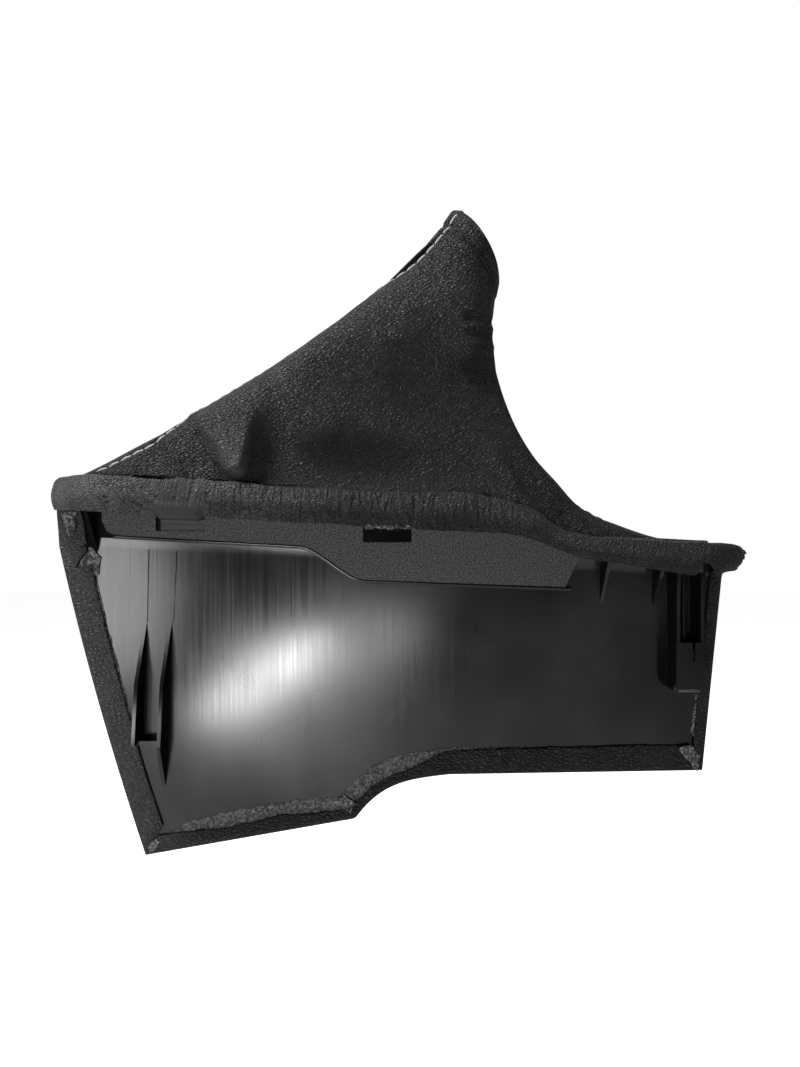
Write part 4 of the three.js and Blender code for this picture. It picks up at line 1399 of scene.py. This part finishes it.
# Lines on the moulding, and the leather tucked into the left slot

# The leather seen in the left slot: left, top, right and bottom, in the photograph's pixels
SLOT_TAB = (160, 519, 209, 534)
# Each thin line: its two ends in the photograph's pixels, its depth and half its width
PANEL_LINES = [
    ("panel_line_left", (149, 549), (147.5, 621), 0.0, 0.3),
    ("panel_line_right", (177, 551), (173.5, 621), 0.0, 0.3),
    ("tower_foot_bevel", (678.5, 690.3), (700.5, 690.3), -16.0, 0.8),
]


def make_panel_lines():
    """The two thin raised lines on the panel, and the bevel at the foot of the tower's plate, in a light
    grey that paints their highlights.
    """
    for name, start, end, y, half in PANEL_LINES:
        a, b = unproject(start, y)[[0, 2]], unproject(end, y)[[0, 2]]
        ahead = unit(b - a)
        aside = np.array([-ahead[1], ahead[0]]) * half
        corners = [a - aside, b - aside, b + aside, a + aside]
        verts = [(c[0], y - 0.08, c[1]) for c in corners] + [(c[0], y + 0.1, c[1]) for c in corners]
        faces = [(0, 1, 2, 3), (7, 6, 5, 4), (1, 0, 4, 5), (2, 1, 5, 6), (3, 2, 6, 7), (0, 3, 7, 4)]
        finish_piece(new_mesh_object(name, verts, faces), HIGHLIGHT_LINE)


def make_slot_tab():
    """The gaiter's skirt goes on through the left slot: its smooth tucked end shows there."""
    u, v = np.meshgrid(np.linspace(0, 1, 40), np.linspace(0, 1, 16))
    px = np.stack([mix(SLOT_TAB[0], SLOT_TAB[2], u), mix(SLOT_TAB[3], SLOT_TAB[1], v)], -1)
    points = unproject(px, NEAR_Y)
    points[..., 1] = NEAR_Y + 1.4 - 0.5 * np.sin(np.pi * v) - 1.0 * smooth(v, 0.8, 1.0)
    tab = flat_backed("gaiter_slot_tab", points, NEAR_Y + 2.2, GAITER_LEATHER)
    # The tab is smooth, and painted evenly paler as a highlight
    for name, value in (("slick", 1.0), ("painted_highlight", 0.45)):
        put_values(tab, name, np.full(len(tab.data.vertices), value))


# Base moulding

STRIP_LEFT = 44.3
STRIP_RIGHT = 86.3
STRIP_SHALLOW = 11.0
STRIP_DEEP = 23.5
STRIP_MARK = 50.0
STRIP_FALL = 0.036
STRIP_STEP_START, STRIP_STEP_END = -40, -10
BEAD = 1.0
BEAD_SIDES = 12
EDGE_RADIUS = 0.35
INNER_Z = 60.0


def clean_copy(source):
    """A copy of a node's mesh with its loose triangles joined and its flat faces made whole."""
    mesh = source.data.copy()
    work = bmesh.new()
    work.from_mesh(mesh)
    bmesh.ops.remove_doubles(work, verts=work.verts, dist=2e-6)
    bmesh.ops.dissolve_limit(work, angle_limit=math.radians(0.6), verts=work.verts, edges=work.edges)
    work.to_mesh(mesh)
    work.free()
    smooth_faces(mesh)
    mesh.set_sharp_from_angle(angle=math.radians(32))
    return mesh


def soften_edges(obj):
    soft = obj.modifiers.new("edges", "BEVEL")
    soft.width = EDGE_RADIUS * MM
    soft.segments = 2
    soft.limit_method = "ANGLE"
    soft.angle_limit = math.radians(38)
    weighted = obj.modifiers.new("flat_faces", "WEIGHTED_NORMAL")
    weighted.keep_sharp = True
    keep_modifiers(obj)


def gets_painted_shade(face):
    """Whether a face gets painted shade: inside the moulding up under the deck, or on the side of a rib or
    gusset, where shade falls.
    """
    middle = face.center / MM
    high = middle.z > INNER_Z and face.normal.z < 0.5
    sideways = abs(face.normal.x) > 0.6 and middle.y < -1.5
    return middle.y > NEAR_Y + 0.6 and (high or sideways)


def make_base():
    obj = new_object("base_shell", clean_copy(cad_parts["base_moulding"]))
    soften_edges(obj)
    finish_piece(obj, PLASTIC)
    # A second slot with painted shade, for the faces inside the moulding where shade falls
    obj.data.materials.append(SHADE_PLASTIC)
    for face in obj.data.polygons:
        if gets_painted_shade(face):
            face.material_index = 1
    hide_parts("base_moulding")


def strip_z(x):
    """Height of the near wall's lower edge."""
    shallow = skirt_z(x) - STRIP_SHALLOW
    deep = skirt_z(np.array([STRIP_MARK])) - STRIP_DEEP - STRIP_FALL * (x - STRIP_MARK)
    return mix(shallow, deep, smooth(x, STRIP_STEP_START, STRIP_STEP_END))


def make_wall_bead():
    """The thin glossy bead along the near wall's lower edge."""
    x = np.linspace(LEFT_X + STRIP_LEFT + 5, RIGHT_X - STRIP_RIGHT - 4, 180)
    z = strip_z(x)
    up = unit(np.stack([-np.gradient(z, x), np.ones(len(x))], -1))
    angle = np.arange(BEAD_SIDES) / BEAD_SIDES * 2 * np.pi
    across = BEAD * np.sin(angle)[None, :]
    px = x[:, None] + up[:, :1] * across
    py = NEAR_Y + BEAD - 0.25 - BEAD * np.cos(angle)[None, :] + 0 * px
    pz = z[:, None] + up[:, 1:] * across
    verts = np.stack([px, py, pz], -1).reshape(-1, 3)
    index = np.arange(len(verts)).reshape(len(x), BEAD_SIDES)
    index = np.concatenate([index, index[:, :1]], axis=1)
    faces = [index[0, :-1].tolist(), index[-1, -2::-1].tolist(), *grid_faces(index.T).tolist()]
    finish_piece(new_mesh_object("near_wall_bead", verts, faces), GLOSS_BEAD)


# Scene

# In metres
FLOOR_HALF = 4.0
FLOOR_Z = -0.24


def make_floor():
    mesh = bpy.data.meshes.new("floor")
    s, z = FLOOR_HALF, FLOOR_Z
    mesh.from_pydata([(-s, -s, z), (s, -s, z), (s, s, z), (-s, s, z)], [], [(0, 1, 2, 3)])
    made, tree, shader = material("floor_white")
    seen = node(tree, "ShaderNodeLightPath").outputs["Is Camera Ray"]
    shader.inputs["Base Color"].default_value = (0.82, 0.82, 0.82, 1)
    shader.inputs["Roughness"].default_value = 0.9
    shader.inputs["Emission Color"].default_value = (1, 1, 1, 1)
    feed(tree, shader.inputs["Emission Strength"], calculated(tree, "MULTIPLY", seen, 0.9))
    mesh.materials.append(made)
    new_object("floor", mesh)


def make_world():
    """White to the camera. The object gets a dim light, a little stronger from behind and from the left."""
    world = bpy.data.worlds.new("studio")
    bpy.context.scene.world = world
    world.use_nodes = True
    tree = world.node_tree
    seen = node(tree, "ShaderNodeLightPath").outputs["Is Camera Ray"]
    place = node(tree, "ShaderNodeTexCoord").outputs["Generated"]
    way = node(tree, "ShaderNodeSeparateXYZ", Vector=place).outputs
    side = spread(tree, way["X"], -0.6, 0.5, 0.08, 0.035, "SMOOTHSTEP")
    behind = spread(tree, way["Y"], -0.25, 0.3, 0.0, 1.0, "SMOOTHSTEP")
    level = mixed_value(tree, behind, side, 0.12)
    background = tree.nodes["Background"]
    feed(tree, background.inputs["Strength"], mixed_value(tree, seen, level, 1.0))
    background.inputs["Color"].default_value = (1, 1, 1, 1)


def area_light(name, place, target, size, power, size_y=None):
    data = bpy.data.lights.new(name, "AREA")
    data.energy = power
    data.size = size
    if size_y is not None:
        data.shape = "ELLIPSE"
        data.size_y = size_y
    obj = new_object(name, data)
    obj.location = place
    obj.rotation_euler = (Vector(target) - Vector(place)).to_track_quat("-Z", "Y").to_euler()
    return obj


# Lights that the panel mirrors: place and size in the photograph's pixels, brightness and turn
LIGHT_Y = -930.0
PANEL_LIGHTS = [
    ("panel_streak", (266, 676), (140, 33), 38.0, 30),
    ("streak_tail", (352, 648), (150, 64), 5.5, 20),
    ("left_glow", (106, 600), (110, 170), 7.0, 0),
    ("low_glow", (215, 750), (190, 90), 4.0, 0),
    ("front_fill", (480, 690), (420, 300), 0.12, 0),
]


def panel_light(name, px, size, level, turn):
    reach = 1 + LIGHT_Y / CAMERA_Y
    seen = unproject(px, 0.0)
    x, z = (mix(eye, at, reach) * MM for eye, at in ((CAMERA_X, seen[0]), (CAMERA_Z, seen[2])))
    wide, tall = (side * PIXEL * reach * MM for side in size)
    power = level * math.pi * wide * tall
    light = area_light(name, (x, LIGHT_Y * MM, z), Vector(seen) * MM, wide, power, tall)
    light.rotation_euler.rotate_axis("Z", math.radians(turn))


def make_lights():
    middle = (0, -0.03, 0.07)
    area_light("key", (-0.52, -0.08, 0.95), middle, 0.28, 12.5)
    area_light("right", (0.8, -0.2, 0.85), middle, 0.4, 1.6)
    area_light("back", (0.2, 0.9, 0.8), middle, 0.8, 3.0)
    for name, px, size, level, turn in PANEL_LIGHTS:
        panel_light(name, px, size, level, turn)


def make_camera():
    data = bpy.data.cameras.new("camera")
    data.lens = SENSOR * -CAMERA_Y / (PHOTO_HEIGHT_PX * PIXEL)
    data.sensor_width = SENSOR
    data.sensor_fit = "AUTO"
    camera = new_object("camera", data)
    camera.location = (CAMERA_X * MM, CAMERA_Y * MM, CAMERA_Z * MM)
    camera.rotation_euler = (math.pi / 2, 0, 0)
    bpy.context.scene.camera = camera


bpy.context.scene.view_settings.view_transform = "Standard"
make_camera()
make_floor()
make_world()
make_lights()
make_base()
make_cover()
near, far = make_gaiter()
make_stitches(near, far)
make_residue()
make_panel_lines()
make_slot_tab()
make_wall_bead()
